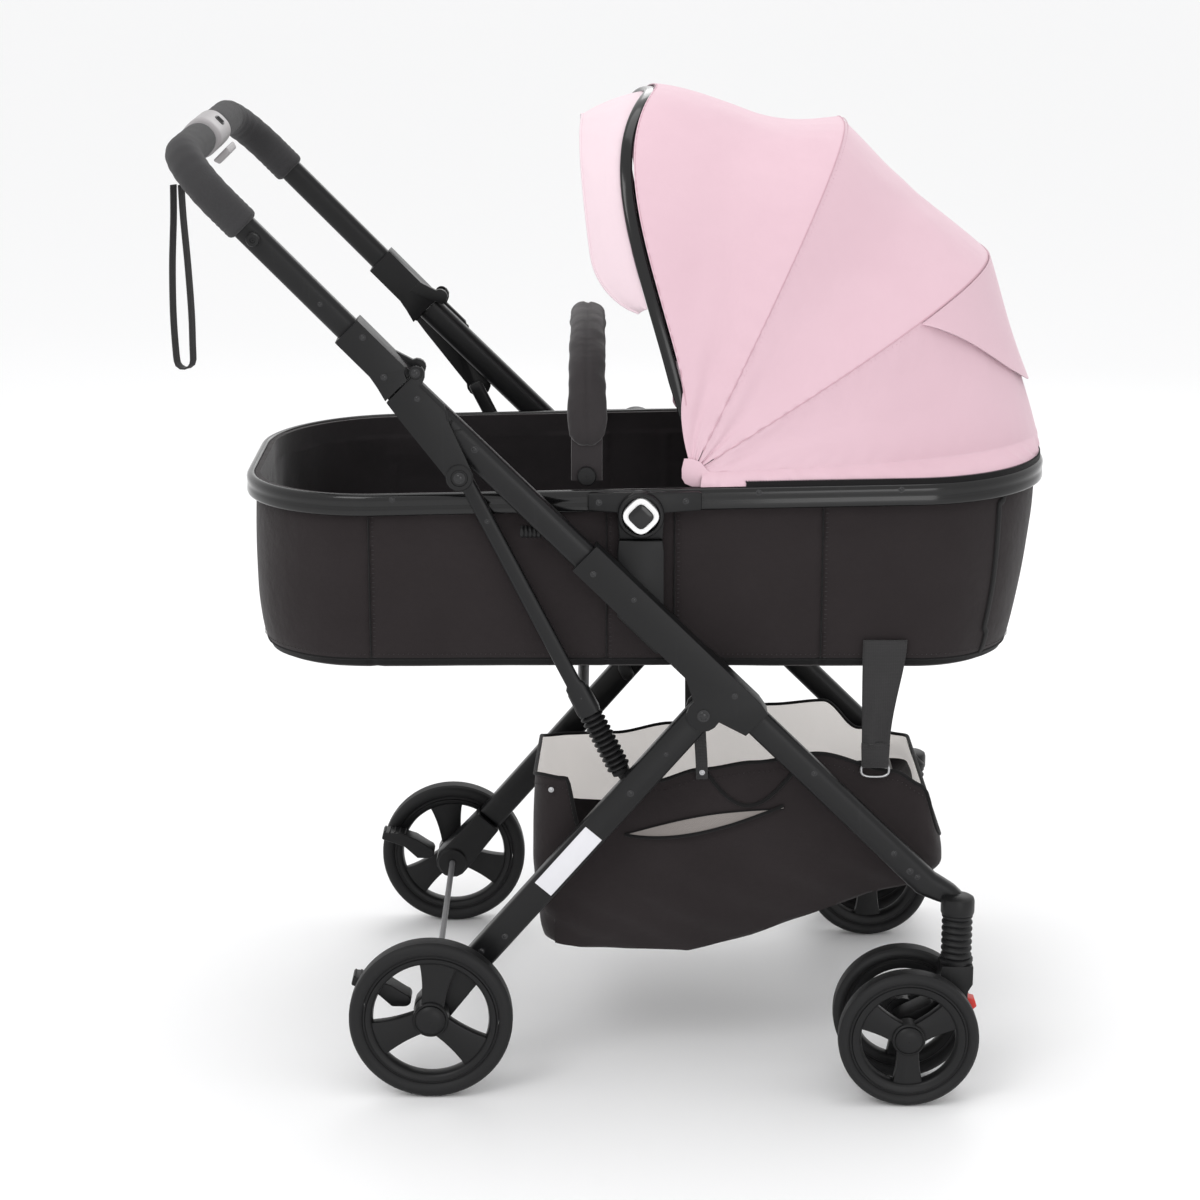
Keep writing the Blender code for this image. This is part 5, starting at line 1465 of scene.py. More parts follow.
def makeTubSeams(outer):
    stitchShift = tubValues["stitchShift"]
    for tag, side in sides.items():
        for index, x in enumerate(cotValues["seams"][:4]):
            line = []
            for ring in outer[9:-5]:
                near = [p for p in ring if p.y * side > 0.15]
                p = min(near, key=lambda q: abs(q.x - x - stitchShift))
                line.append(Vector((x + stitchShift, p.y + side * 0.0002, p.z)))
            groove = [p + Vector((-stitchShift, side * 0.0002, 0)) for p in line]
            settle(sweepPiece(f"seamLine_{tag}_{index}", groove, "binding", 0.0011, 0.0008, (0, 1, 0), 2.0,
                              8), "cot",
                   "black_fabric")
            copiesPiece(f"seamStitches_{tag}_{index}", line, 0.0050, stitchSource, "thread", "cot",
                        "black_fabric")
        binding = []
        for ring in outer[8:-4]:
            near = [p for p in ring if p.y * side > 0.06 and p.x > 0.3]
            p = min(near, key=lambda q: abs(q.x - (0.4020 + (q.z - 0.55) * 0.10)))
            outward = Vector((p.x - 0.30, p.y * 0.6, 0)).normalized()
            binding.append(p + outward * 0.0008)
        settle(sweepPiece("headBinding_" + tag, binding, "binding", 0.0042, 0.0009, (1, -side * 1.2, 0), 3.0,
                          12), "cot", "black_fabric")


makeRim()
makeButtons()
makeTub()
print("cot ready")

# ---- padded pieces that are puffed up by cloth simulation

simulationValues = {"frames": 20, "pressure": 4.0, "voxel": 0.0055}


def puffUp(obj, cap, finish):
    # swells a closed pad under inner pressure; cap limits how far a point moves
    remesh = obj.modifiers.new("remesh", "REMESH")
    remesh.mode = "VOXEL"
    remesh.voxel_size = simulationValues["voxel"]
    bakeModifiers(obj)
    start = np.array([v.co for v in obj.data.vertices])
    cloth = obj.modifiers.new("cloth", "CLOTH")
    settings = cloth.settings
    settings.quality = 5
    settings.mass = 0.15
    settings.tension_stiffness = 12
    settings.compression_stiffness = 12
    settings.shear_stiffness = 6
    settings.bending_stiffness = 0.6
    settings.use_pressure = True
    settings.uniform_pressure_force = simulationValues["pressure"]
    settings.effector_weights.gravity = 0
    cloth.collision_settings.use_collision = False
    cloth.point_cache.frame_start = 1
    cloth.point_cache.frame_end = simulationValues["frames"]
    for number in range(1, simulationValues["frames"] + 1):
        scene.frame_set(number)
    bakeModifiers(obj)
    scene.frame_set(1)
    moved = np.array([v.co for v in obj.data.vertices])
    step = moved - start
    length = np.linalg.norm(step, axis=1, keepdims=True)
    step *= np.minimum(1.0, cap / np.maximum(length, 1e-9))
    obj.data.vertices.foreach_set("co", (start + step).astype(np.float32).ravel())
    obj.data.materials.clear()
    obj.data.materials.append(finishes[finish])
    smoother = obj.modifiers.new("smoother", "SMOOTH")
    smoother.iterations = 3
    smoother.factor = 0.5
    divide = obj.modifiers.new("divide", "SUBSURF")
    divide.levels = 1
    divide.render_levels = 1
    bakeModifiers(obj)
    obj.data.shade_smooth()


mattressValues = {"x": (-0.350, 0.395), "halfY": 0.173, "corner": 0.088, "z": (0.4760, 0.4985)}


def makeMattress():
    v = mattressValues
    rings = []
    for inset, z in ((0.006, v["z"][0]), (0.0, v["z"][0] + 0.006), (0.0, v["z"][1] - 0.006),
                     (0.006, v["z"][1])):
        rings.append(planRing(v["x"][0] + inset, v["x"][1] - inset, v["halfY"] - inset, v["corner"] - inset,
                              z, 0.0, 14, 40, 14))
    centre = Vector((0.0225, 0, 0))

    def shrink(ring, scale, z):
        return [Vector((centre.x + (p[0] - centre.x) * scale, p[1] * scale, z)) for p in ring]
    bottom = [shrink(rings[0], s, v["z"][0]) for s in (0.1, 0.4, 0.7)]
    top = [shrink(rings[-1], s, v["z"][1]) for s in (0.85, 0.7, 0.55, 0.4, 0.25, 0.1)]
    pad = skinPiece("mattressPad", bottom + rings + top, "padCloth", False, 60)
    puffUp(pad, 0.006, "padCloth")
    co = np.array([p.co for p in pad.data.vertices])
    # sewn channels across the pad
    for x in (-0.20, -0.05, 0.10, 0.25):
        d = np.abs(co[:, 0] - x)
        onTop = co[:, 2] > v["z"][1] - 0.004
        co[:, 2] -= np.where(onTop, 0.0035 * np.exp(-(d / 0.006) ** 2), 0.0)
    pad.data.vertices.foreach_set("co", co.astype(np.float32).ravel())
    pad.data.update()
    settle(pad, "cot", "black_fabric", "mattress")


carryValues = {"x": -0.0310, "pivotZ": 0.6740, "topZ": 0.8240, "halfY": 0.1850, "halfX": 0.0228,
               "thick": 0.0105}


def carryPoint(turn):
    v = carryValues
    rise = v["topZ"] - 0.013 - v["pivotZ"] + 0.006
    c, s = math.cos(turn), math.sin(turn)
    y = v["halfY"] * math.copysign(abs(c) ** 0.75, c)
    z = v["pivotZ"] - 0.006 + rise * abs(s) ** 0.75
    normal = Vector((0, c, s * 1.1)).normalized()
    return Vector((v["x"], y, z)), normal


def makeCarryHandle():
    v = carryValues
    rings = []
    steps = 90
    for i in range(steps + 1):
        degrees = 9 + 162 * i / steps
        centre, normal = carryPoint(math.radians(degrees))
        ease = min(1.0, min(i, steps - i) / 4.0)
        width = v["halfX"] * (0.55 + 0.45 * math.sqrt(ease))
        thick = v["thick"] * (0.55 + 0.45 * math.sqrt(ease))
        wave = 1 + 0.03 * noise.noise(Vector((i * 0.23, 1.0, 0.0)))
        rings.append(ovalRing(centre, (1, 0, 0), normal, width * wave, thick * 1.12, 1.75, 36))
    pad = skinPiece("carryPad", rings, "carryCloth", False, 60)
    puffUp(pad, 0.0035, "carryCloth")
    co = np.array([p.co for p in pad.data.vertices])
    moved = []
    for p in co:
        d = abs(p[0] - v["x"])
        crease = 0.0010 * noise.noise(Vector((p[0] * 60, p[1] * 34,
                p[2] * 34))) + 0.0004 * noise.noise(Vector((p[0] * 20, p[1] * 60, p[2] * 60)))
        groove = -0.0022 * math.exp(-(d / 0.0022) ** 2)
        out = Vector((0, p[1] * 0.7, p[2] - 0.70)).normalized()
        outside = 1 if out.z > -0.5 else 0
        edge = 0.0013 * noise.noise(Vector((p[0] * 8, p[1] * 62, p[2] * 62 + 3))) * max(0.0,
                (d - 0.012) / 0.008)
        moved.append(Vector(p) + out * (groove * outside)
                     + Vector((math.copysign(1, p[0] - v["x"]) * (crease + edge), 0, 0)) + out * crease)
    pad.data.vertices.foreach_set("co", np.array(moved).astype(np.float32).ravel())
    pad.data.update()
    settle(pad, "carry_arch", "black_fabric", "carry_handle")
    for end, (low, high) in {"r": (180, 166), "l": (0, 14)}.items():
        route = [carryPoint(math.radians(low + (high - low) * i / 12))[0] for i in range(13)]
        tape = sweepPiece("carryTape_" + end, route, "carryCloth", 0.0165, 0.0022, (1, 0, 0), 4.0, 20)
        settle(tape, "carry_arch", "black_fabric")
    for end, side in sides.items():
        base = lathePiece("carryAnchor_" + end, (v["x"], side * 0.1890, v["pivotZ"] - 0.0005),
                          [(0.0004, -0.0050), (0.0090, -0.0050), (0.0100, -0.0040), (0.0100, 0.0040),
                           (0.0090, 0.0050), (0.0004, 0.0050)], "plastic", 40)
        settle(base, "carry_arch", "plastic_black")


makeMattress()
makeCarryHandle()
print("pads ready")

# ---- hood

hoodValues = {"axis": (0.0805, 0.6810), "radius": 0.3850, "halfY": 0.2040, "front": -6.5, "middle": 25.5,
              "rear": 57.6, "end": 88.0,
              "thick": 0.0011, "sag": 0.0200, "sidePush": 0.036}


def sidePush(degrees, turn):
    # the front bow's two sides stand ahead of its middle
    v = hoodValues
    share = min(1.0, max(0.0, (v["middle"] - degrees) / (v["middle"] - v["front"])))
    return v["sidePush"] * share * abs(math.sin(2 * math.radians(turn))) ** 1.4


def bowPoint(degrees, turn, inset=0.0):
    v = hoodValues
    a, lean = math.radians(turn), math.radians(degrees)
    c, s = math.cos(a), math.sin(a)
    y = -(v["halfY"] - inset) * math.copysign(abs(c) ** 0.72, c)
    r = (v["radius"] - inset) * abs(s) ** 0.80
    return Vector((v["axis"][0] + r * math.sin(lean) - sidePush(degrees, turn), y,
                   v["axis"][1] + r * math.cos(lean)))


def makeBow(place, body, finish, slotName, halfWidth=0.0065, halfThick=0.0035):
    degrees = hoodValues[place]
    lean = math.radians(degrees)
    across = Vector((math.cos(lean), 0, -math.sin(lean)))
    rings = []
    steps = 110
    for i in range(steps + 1):
        turn = 4 + 172 * i / steps
        centre = bowPoint(degrees, turn, 0.0040)
        ahead = bowPoint(degrees, turn + 0.4, 0.0040) - bowPoint(degrees, turn - 0.4, 0.0040)
        reach = math.hypot(centre.x - hoodValues["axis"][0], centre.z - hoodValues["axis"][1])
        rings.append(ovalRing(centre, across, ahead.normalized().cross(across),
                              min(halfWidth, reach * 0.068), halfThick, 3.2, 24))
    settle(skinPiece("hoodBow_" + place, rings, finish, False, 50), body, slotName, "hood_bow_" + place)


def bowClearance(turn, margin):
    radius = hoodValues["radius"] * abs(math.sin(math.radians(turn))) ** 0.80
    return math.degrees(math.asin(min(0.9, margin / radius, 0.072)))


def hoodSurface(start, end, share, turn, startMargin, endMargin, seed, sagScale=1.0, skew=1.0):
    widest = 0.3 * (end - start)
    low = start + min(widest, bowClearance(turn, startMargin))
    if start == hoodValues["front"]:
        low -= 15 * max(0.0, 1 - math.sin(math.radians(turn)) / 0.16)
    high = end - min(widest, bowClearance(turn, endMargin))
    degrees = low + (high - low) * share
    span01 = math.sin(math.pi * share ** skew)
    along = math.sin(math.radians(turn))
    inset = -0.0014 + hoodValues["sag"] * sagScale * span01 * along ** 0.8
    edge = min(share, 1 - share)
    foot = max(0.0, 1 - along / 0.75)
    p = bowPoint(degrees, turn, 0.0)
    wrinkle = 0.0034 * noise.noise(Vector((p.x * 7 + seed, p.y * 7, p.z * 7))) * span01
    radial = math.atan2(p.z - 0.60, p.x - 0.03)
    wrinkle += 0.0016 * foot * span01 * math.sin(radial * 20 + seed * 3 + 4
            * noise.noise(Vector((turn * 0.06, seed, share * 2))))
    wrinkle += 0.00075 * math.exp(-(edge / 0.05) ** 2) * math.sin(turn * 3.1 + 6
            * noise.noise(Vector((turn * 0.12, seed, 0)))) * (0.25 + foot)
    wrinkle += 0.0016 * noise.noise(Vector((p.x * 24, p.y * 24 + seed, p.z * 24))) * span01
    folds = math.sin(turn * 1.15 + 9 * share + 5 * noise.noise(Vector((turn * 0.05, seed, share))))
    wrinkle += 0.0013 * folds * math.exp(-(edge / 0.17) ** 2) * span01 ** 0.5 * (0.25 + foot)
    return bowPoint(degrees, turn, inset + wrinkle)


def archTurn(share, turns):
    # crowds the columns towards the two feet of the arch
    eased = 0.5 - 0.5 * math.cos(math.pi * share)
    return turns[0] + (turns[1] - turns[0]) * (0.55 * eased + 0.45 * share)


def rimSkirt(row):
    # carries the last row of the hood down on to the rim, where the zip holds it
    rim = [Vector(p) for p in rimRing(0.0042, cotValues["z"][1] + 0.0004)]
    out = []
    foot = []
    for p in row:
        angle = math.atan2(p.y, p.x - 0.0805)
        near = min(rim, key=lambda q: abs(math.atan2(math.sin(math.atan2(q.y, q.x - 0.0805) - angle),
                math.cos(math.atan2(q.y, q.x - 0.0805) - angle))))
        foot.append(near)
    for k in range(1, 9):
        t = k / 8
        line = []
        for i, (a, b) in enumerate(zip(row, foot)):
            c = a.lerp(b, t)
            outward = Vector((c.x - 0.15, c.y, 0)).normalized()
            gather = 0.0011 * math.sin(i * 0.9 + 3
                                       * noise.noise(Vector((i * 0.13, 0, 2)))) * math.sin(math.pi * t)
            line.append(c + outward * (0.0022 * math.sin(math.pi * t) + gather))
        out.append(line)
    return out


def makeHoodPanel(name, start, end, startMargin, endMargin, seed, rows=44, columns=220, sagScale=1.0,
                  turns=(0.7, 179.3), skirt=None):
    outer = []
    for k in range(rows + 1):
        # rows crowd near the two sewn edges
        share = 0.5 - 0.5 * math.cos(math.pi * k / rows)
        outer.append([hoodSurface(start, end, share, archTurn(i / columns, turns), startMargin, endMargin,
                                  seed, sagScale, 1.35 if start == hoodValues["front"] else 1.0)
                      for i in range(columns + 1)])
    if skirt:
        outer += skirt(outer[-1])
    axisMid = Vector((hoodValues["axis"][0], 0, hoodValues["axis"][1]))
    rings = []
    for row in outer:
        inner = []
        for p in row:
            toward = (Vector((axisMid.x, p.y * 0.55, axisMid.z)) - p).normalized()
            inner.append(p + toward * hoodValues["thick"])
        rings.append(row + list(reversed(inner)))
    panel = skinPiece(name, rings, "pink", False, 60)
    panel.data.materials.append(finishes["hoodInside"])
    perRing = len(rings[0])
    marks = np.zeros(len(panel.data.polygons), dtype=np.int32)
    index = np.arange((len(rings) - 1) * perRing)
    marks[:len(index)] = ((index % perRing) > columns).astype(np.int32)
    panel.data.polygons.foreach_set("material_index", marks)
    return panel


def makeHood():
    v = hoodValues
    makeBow("front", "hood_front", "gloss", "gloss_black")
    makeBow("middle", "hood_middle", "frame", "frame_black", 0.0040, 0.0028)
    makeBow("rear", "hood_rear", "frame", "frame_black", 0.0040, 0.0028)
    panels = (("hoodPanelFront", v["front"], v["middle"], 0.0070, 0.0004, "hood_middle", "hood_front", 1.0,
               "hood_panel_front", 1.35),
              ("hoodPanelMiddle", v["middle"], v["rear"], 0.0004, 0.0004, "hood_rear", "hood_middle", 5.0,
               "hood_panel_middle", 1.05),
              ("hoodPanelRear", v["rear"], v["end"], 0.0004, 0.0, "cot", "hood_rear", 9.0, "hood_panel_rear",
               0.75))
    for name, start, end, lowMargin, highMargin, fixedBody, movingBody, seed, node, sagScale in panels:
        panel = makeHoodPanel(name, start, end, lowMargin, highMargin, seed, sagScale=sagScale,
                              skirt=rimSkirt if node == "hood_panel_rear" else None)
        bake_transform(panel)
        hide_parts(node)
    for place, body in (("middle", "hood_middle"), ("rear", "hood_rear")):
        degrees = v[place]
        line = [bowPoint(degrees, 2 + 176 * i / 160, -0.0017) for i in range(161)]
        lean = math.radians(degrees)
        across = Vector((math.cos(lean), 0, -math.sin(lean)))
        settle(sweepPiece("hoodWelt_" + place, line, "pinkSeam", 0.0007, 0.0005, across, 2.0, 8), body,
               "pink_fabric")
        stitch = [bowPoint(degrees, 12 + 156 * i / 200, -0.0016) + across * 0.0040 for i in range(201)]
        copiesPiece("hoodStitch_" + place, stitch, 0.0055, stitchSource, "pinkSeam", body, "pink_fabric",
                    False, 0.55)
    frontEdge = []
    for i in range(181):
        turn = 7 + 166 * i / 180
        frontEdge.append(bowPoint(v["front"] + bowClearance(turn, 0.0082), turn, -0.0006))
    settle(sweepPiece("hoodPiping", frontEdge, "pinkSeam", 0.0010, 0.0010, (1, 0, 0), 2.0, 8), "hood_front",
           "pink_fabric")
    for tag, side in sides.items():
        outline = [(0.0715, 0.6960), (0.0690, 0.6850), (0.0692, 0.6750), (0.0725, 0.6690), (0.0800, 0.6657),
                   (0.0950, 0.6652),
                   (0.1300, 0.6658), (0.1150, 0.6745), (0.0960, 0.6835), (0.0890, 0.6925), (0.0790, 0.6962)]
        corner = platePiece("hoodCorner_" + tag, outline, *span(side, 0.2052, 0.2064), "pink", 0.0005, 50)
        settle(corner, "cot", "pink_fabric")
    makeVisor()
    makeVentFlap()
    makeZip()


visorValues = {"turns": (22, 158), "reach": 0.0735, "thick": 0.0016, "curl": 0.010}


def makeVisor():
    v = visorValues
    rows, columns = 26, 120
    outer, inner = [], []
    for k in range(rows + 1):
        share = k / rows
        a, b = [], []
        for i in range(columns + 1):
            turn = v["turns"][0] + (v["turns"][1] - v["turns"][0]) * i / columns
            fromEnd = min(i, columns - i) / columns
            shape = math.sin(math.pi / 2 * min(1.0, (fromEnd + 0.004) / 0.10)) ** 0.6
            radius = hoodValues["radius"] * abs(math.sin(math.radians(turn))) ** 0.80
            lean = hoodValues["front"] - bowClearance(turn,
                    0.0068) - math.degrees((v["reach"] - 0.9 * sidePush(-90, turn)) * shape / radius) * share
            inset = 0.0055 + v["curl"] * share ** 1.5 + 0.0006 * noise.noise(Vector((turn * 0.11, share * 3,
                    4)))
            a.append(bowPoint(lean, turn, inset))
            b.append(bowPoint(lean, turn, inset + v["thick"]))
        outer.append(a)
        inner.append(b)
    visor = skinPiece("sunVisor", [a + list(reversed(b)) for a, b in zip(outer, inner)], "palePink", False,
                      60)
    settle(visor, "hood_front", "pale_pink_fabric", "sun_visor")
    edge = outer[-1]
    settle(sweepPiece("visorBinding", edge, "palePink", 0.0013, 0.0013, (1, 0, 0), 2.0, 8), "hood_front",
           "pale_pink_fabric")


def makeVentFlap():
    # the cover over the vent at the head end, lifted a little along its lower edge
    v = hoodValues
    rows, columns = 20, 90
    outer, inner = [], []
    for k in range(rows + 1):
        share = k / rows
        a, b = [], []
        for i in range(columns + 1):
            across = i / columns
            side = abs(across - 0.5) * 2
            turn = 43 + 94 * across
            reach = 21.5 * (1 - side ** 1.9) + 0.6
            degrees = v["rear"] + 0.35 + reach * share
            along = math.sin(math.radians(turn))
            sag = 0.75 * v["sag"] * math.sin(math.pi * (degrees - v["rear"])
                    / (v["end"] - v["rear"])) * along ** 0.8
            lift = 0.0036 + 0.0045 * share ** 2 + 0.0012 * math.sin(across * 19) * share
            a.append(bowPoint(degrees, turn, sag - lift))
            b.append(bowPoint(degrees, turn, sag - lift + 0.0014))
        outer.append(a)
        inner.append(b)
    flap = skinPiece("ventFlap", [a + list(reversed(b)) for a, b in zip(outer, inner)], "pink", False, 60)
    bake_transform(flap)


def makeZip():
    # zip and tape along the rim at the head end
    v = cotValues
    line = [p for p in rimRing(0.0040, v["z"][1] + 0.0012) if p[0] > 0.13]
    row = sorted(line, key=lambda p: math.atan2(p[1], p[0] - 0.13))
    tape = sweepPiece("zipTape", row, "binding", 0.0045, 0.0009, (0, 0.001, 1), 3.0, 10)
    settle(tape, "cot", "black_fabric")
    lifted = [Vector(p) + Vector((0, 0, 0.0042)) for p in row]
    copiesPiece("zipTeeth", lifted, 0.0030, toothSource, "plastic", "cot", "black_fabric", False, 0.75,
                math.pi / 2)


makeHood()
print("hood ready")

# ---- storage basket

basketValues = {"halfY": 0.2045, "wall": 0.0018, "rows": 40, "rear": -0.0880, "front": 0.3560,
                "corner": 0.032}


def stepLine(points, x, soft=True):
    if x <= points[0][0]:
        return points[0][1]
    for (x0, z0), (x1, z1) in zip(points, points[1:]):
        if x <= x1:
            t = (x - x0) / (x1 - x0)
            if soft:
                t = t * t * (3 - 2 * t)
            return z0 + (z1 - z0) * t
    return points[-1][1]


basketTop = [(-0.088, 0.344), (-0.054, 0.342), (-0.040, 0.286), (-0.010, 0.288), (0.040, 0.338),
             (0.0934, 0.352), (0.150, 0.360),
             (0.218, 0.370), (0.300, 0.350), (0.336, 0.332), (0.356, 0.285)]
basketFarTop = [(-0.088, 0.262), (0.001, 0.264), (0.070, 0.276), (0.192, 0.300), (0.255, 0.305),
                (0.299, 0.270), (0.356, 0.262)]
basketBottom = [(-0.088, 0.146), (-0.040, 0.138), (0.080, 0.1335), (0.150, 0.152), (0.190, 0.1675),
                (0.234, 0.1845), (0.2775, 0.201),
                (0.316, 0.210), (0.356, 0.2184)]


def basketPoint(x, y, share, inset):
    v = basketValues
    sideways = abs(y) > v["halfY"] - 0.030
    edgeLine = basketTop if y < 0 else basketFarTop
    top = stepLine(edgeLine, x) if sideways else 0.262
    if not sideways:
        top = 0.268 if x > 0.2 else 0.3035 - y / v["halfY"] * 0.0400
    elif abs(y) < v["halfY"] - 0.001:
        blendShare = (abs(y) - (v["halfY"] - 0.030)) / 0.029
        endTop = 0.268 if x > 0.2 else 0.3035 - y / v["halfY"] * 0.0400
        top = endTop + (top - endTop) * blendShare ** 1.5
    bottom = stepLine(basketBottom, x, False) + 0.004
    z = top + (bottom - top) * share
    low = max(0.0, share - 0.55) / 0.45
    tuck = 0.011 * low ** 2.6 + inset
    bulge = 0.0045 * math.sin(math.pi * min(1.0, share * 1.1)) * (0.6 + 0.4
            * noise.noise(Vector((x * 8, y * 8, 3.0))))
    crease = 0.0026 * noise.noise(Vector((x * 14, y * 14,
                                          z * 10 + 4))) + 0.0011 * noise.noise(Vector((x * 38, y * 38,
                                                  z * 26)))
    diagonal = 0.0016 * math.sin((x * 0.8 + z * 1.4) * 95 + 3
                                 * noise.noise(Vector((x * 6, z * 6, y)))) * math.exp(-((share - 0.75)
                                         / 0.22) ** 2)
    hem = 1.0 if share > 0.05 else share / 0.05
    out = (bulge + (crease + diagonal) * (0.4 + 0.6 * share)) * hem
    fromMid = Vector((x - 0.134, y, 0))
    direction = Vector((0, math.copysign(1, y),
                        0)) if sideways and v["rear"] + 0.02 < x < v["front"] - 0.02 else fromMid.normalized()
    q = Vector((x, y, z)) + direction * (out - tuck)
    return q


def makeBasket():
    v = basketValues
    plan = planRing(v["rear"], v["front"], v["halfY"], v["corner"], 0.0, 0.0, 14, 150, 60)
    rows = v["rows"]
    outer = [[basketPoint(x, y, k / rows, 0.0) for x, y, _ in plan] for k in range(rows + 1)]
    inner = [[basketPoint(x, y, k / rows, v["wall"]) + Vector((0, 0, 0.0 if k < rows else 0.0018)) for x, y,
              _ in plan] for k in range(rows + 1)]

    def floorRings(base, lift):
        out = []
        for scale in (0.93, 0.8, 0.62, 0.42, 0.2, 0.05):
            ring = []
            for p in base:
                x = 0.134 + (p.x - 0.134) * scale
                y = p.y * scale
                sag = 0.0045 * (1 - scale) + 0.0018 * noise.noise(Vector((x * 12, y * 12, 1.5)))
                ring.append(Vector((x, y, stepLine(basketBottom, x, False) + 0.0015 - sag * 0.6 + lift)))
            out.append(ring)
        return out
    rings = list(reversed(floorRings(inner[-1],
                                     v["wall"]))) + list(reversed(inner)) + outer + floorRings(outer[-1], 0.0)
    bag = skinPiece("basketBag", rings, "cloth", False, 60)
    bag.data.materials.append(finishes["linen"])
    bag.data.materials.append(finishes["clothInside"])
    perRing = len(plan)
    ringFacesInside = 6 + rows
    marks = np.zeros(len(bag.data.polygons), dtype=np.int32)
    for k in range(ringFacesInside + 1):
        fromFloor = k < 6 + int(rows * 0.30)
        marks[k * perRing:(k + 1) * perRing] = 2 if fromFloor else 1
    marks[-2] = 2
    bag.data.polygons.foreach_set("material_index", marks)
    settle(bag, "chassis", "black_fabric", "basket")
    hem = [Vector((p.x, p.y, p.z)) for p in outer[0]]
    settle(sweepPiece("basketHem", hem, "binding", 0.0022, 0.0022, (0, 0.01, 1), 2.0, 10, True), "chassis",
           "black_fabric")
    copiesPiece("basketStitches", [p + Vector((0, math.copysign(0.0012, p.y), -0.0060)) for p in outer[1]],
                0.0055, stitchSource, "thread",
                "chassis", "black_fabric", True)
    for tag, side in sides.items():
        makeBasketSide(tag, side, outer)


def wallAt(outer, x, z, side):
    best = None
    for ring in outer:
        for p in ring:
            if p.y * side > 0.15:
                d = (p.x - x) ** 2 + (p.z - z) ** 2
                if best is None or d < best[0]:
                    best = (d, p)
    return best[1].y * side


def makePocket(tag, side, low, high):
    rows = 8
    verts, faces = [], []
    for k in range(rows + 1):
        for i in range(41):
            t = k / rows
            y = low[i][1] + 0.0012 + 0.0050 * math.sin(math.pi * i / 40) * (1 - t) ** 2
            verts.append((low[i][0], side * y, low[i][2] + (high[i][2] - low[i][2]) * t))
    for k in range(rows):
        for i in range(40):
            a = k * 41 + i
            faces.append((a, a + 1, a + 42, a + 41))
    patch = meshPiece("pocketMouth_" + tag, verts, faces, "pocket", 60)
    thick = patch.modifiers.new("thick", "SOLIDIFY")
    thick.thickness = 0.0009
    thick.offset = 0.0
    bakeModifiers(patch)
    settle(patch, "chassis", "lining")
    hem = [Vector((p[0], side * (p[1] + 0.0014 + 0.0055 * math.sin(math.pi * i / 40)), p[2])) for i,
           p in enumerate(low)]
    settle(sweepPiece("pocketHem_" + tag, hem, "binding", 0.0019, 0.0014, (0, 0, 1), 2.0, 10), "chassis",
           "black_fabric")
    top = [Vector((p[0], side * (p[1] + 0.0012), p[2])) for p in high]
    settle(sweepPiece("pocketTop_" + tag, top, "binding", 0.0009, 0.0007, (0, 0, 1), 2.0, 8), "chassis",
           "black_fabric")


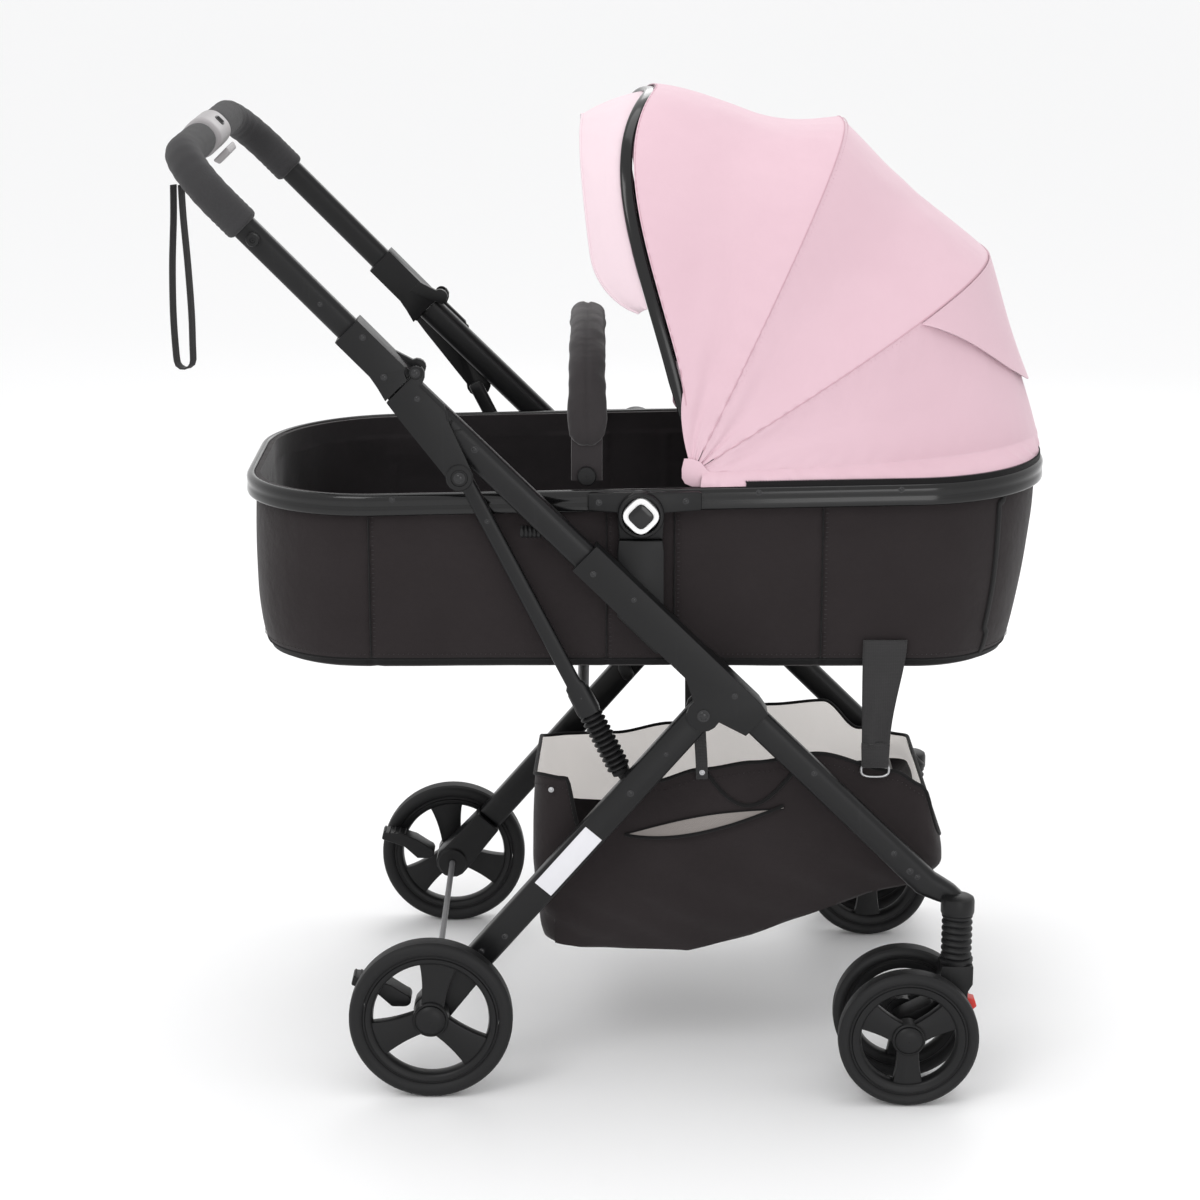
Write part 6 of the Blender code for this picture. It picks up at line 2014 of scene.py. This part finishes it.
def makeBasketSide(tag, side, outer):
    drop = 0.0 if tag == "r" else 0.066
    # pocket mouth: a crescent of mesh between the wall and the pocket's curved hem
    low, high = [], []
    for i in range(41 if tag == "r" else 0):
        share = i / 40
        x = 0.010 + 0.172 * share
        base = 0.2784 + 0.0291 * share
        sag = 0.0150 * math.sin(math.pi * share) ** 0.8 * (1 - 0.45 * share)
        rise = 0.0075 * math.sin(math.pi * share)
        y = max(wallAt(outer, x, base, side), wallAt(outer, x, base - sag, side)) if i % 4 == 0 else None
        low.append([x, y, base - sag + 0.004 * share])
        high.append([x, y, base + rise])
    for i in range(len(low)):
        if low[i][1] is None:
            a, b = i - i % 4, min(40, i - i % 4 + 4)
            y = low[a][1] + (low[b][1] - low[a][1]) * (i % 4) / 4
            low[i][1] = high[i][1] = y
    if tag == "r":
        makePocket(tag, side, low, high)
    curve = [(0.100 + 0.098 * i / 30, 0.347 - 0.040 * math.sin(math.pi * (i / 30) ** 0.92) + 0.010 * i / 30)
             for i in range(31)]
    if tag == "r":
        arc = [Vector((x, side * (wallAt(outer, x, z, side) + 0.0012), z)) for x, z in curve]
        settle(sweepPiece("basketArc", arc, "binding", 0.0022, 0.0016, (0, 0, 1), 2.0, 10), "chassis",
               "black_fabric")
    strapTop, strapFoot = (0.0900, side * 0.2180, 0.4140), (0.0934, side * 0.2080, 0.3420 - drop)
    path = smoothPath([strapTop, (0.0905, side * 0.2165, 0.395), (0.0925, side * 0.2110, 0.365), strapFoot],
                      0.006)
    settle(sweepPiece("basketStrap_" + tag, path, "webbing", 0.0065, 0.0009, (1, 0, 0), 5.0, 12), "chassis",
           "black_fabric")
    studs = [((0.0934, side * 0.2098, 0.350 - drop), (0, side, 0), 0.0022)]
    if tag == "r":
        studs.append(((-0.070, side * 0.2085, 0.330), (0, side, 0), 0.0022))
    rivetPiece("basketStuds_" + tag, studs, "chassis", "steel")


makeBasket()
print("basket ready")

# ---- webbing strap under the head end, with its buckle and ring

hangValues = {"y": -0.2100, "top": (0.2640, 0.3110), "foot": (0.2650, 0.2950)}


def makeHangingStrap():
    v = hangValues
    rows = 30
    verts, faces = [], []
    for k in range(rows + 1):
        t = k / rows
        z = 0.4990 - 0.1170 * t
        ease = t * t * (3 - 2 * t)
        left = v["top"][0] + (v["foot"][0] - v["top"][0]) * ease
        right = v["top"][1] + (v["foot"][1] - v["top"][1]) * ease
        for i in range(13):
            s = i / 12
            fold = 0.0018 * math.sin(s * 9 + t * 2) * ease
            verts.append((left + (right - left) * s,
                          v["y"] - 0.0006 + fold + 0.0035 * math.sin(math.pi * t) - 0.002, z))
    for k in range(rows):
        for i in range(12):
            a = k * 13 + i
            faces.append((a, a + 1, a + 14, a + 13))
    strap = meshPiece("hangingStrap", verts, faces, "webbing", 60)
    thick = strap.modifiers.new("thick", "SOLIDIFY")
    thick.thickness = 0.0016
    bakeModifiers(strap)
    settle(strap, "cot", "black_fabric")
    loop = platePiece("strapLoop", [(0.2645, 0.3840), (0.2655, 0.3560), (0.2945, 0.3560), (0.2955, 0.3840)],
                      -0.2135, -0.2085, "webbing", 0.0012, 50)
    settle(loop, "cot", "black_fabric")
    ring = []
    for i in range(48):
        a = 2 * math.pi * i / 48
        c, s = math.cos(a), math.sin(a)
        ring.append((0.2800 + 0.0150 * math.copysign(abs(c) ** 0.7, c), -0.2110,
                     0.3540 + 0.0065 * math.copysign(abs(s) ** 0.9, s) - (0.002 if s < 0 else 0)))
    settle(sweepPiece("strapRing", ring, "steel", 0.0014, 0.0014, (0, 1, 0), 2.0, 12, True), "cot", "steel")
    for level in (0.3790, 0.3620):
        line = [(0.2660 + 0.0285 * i / 10, -0.2137, level) for i in range(11)]
        copiesPiece(f"strapStitches_{int(level * 1000)}", line, 0.0042, stitchSource, "thread", "cot",
                    "black_fabric")


makeHangingStrap()
for source in copySources:
    bpy.data.objects.remove(source)
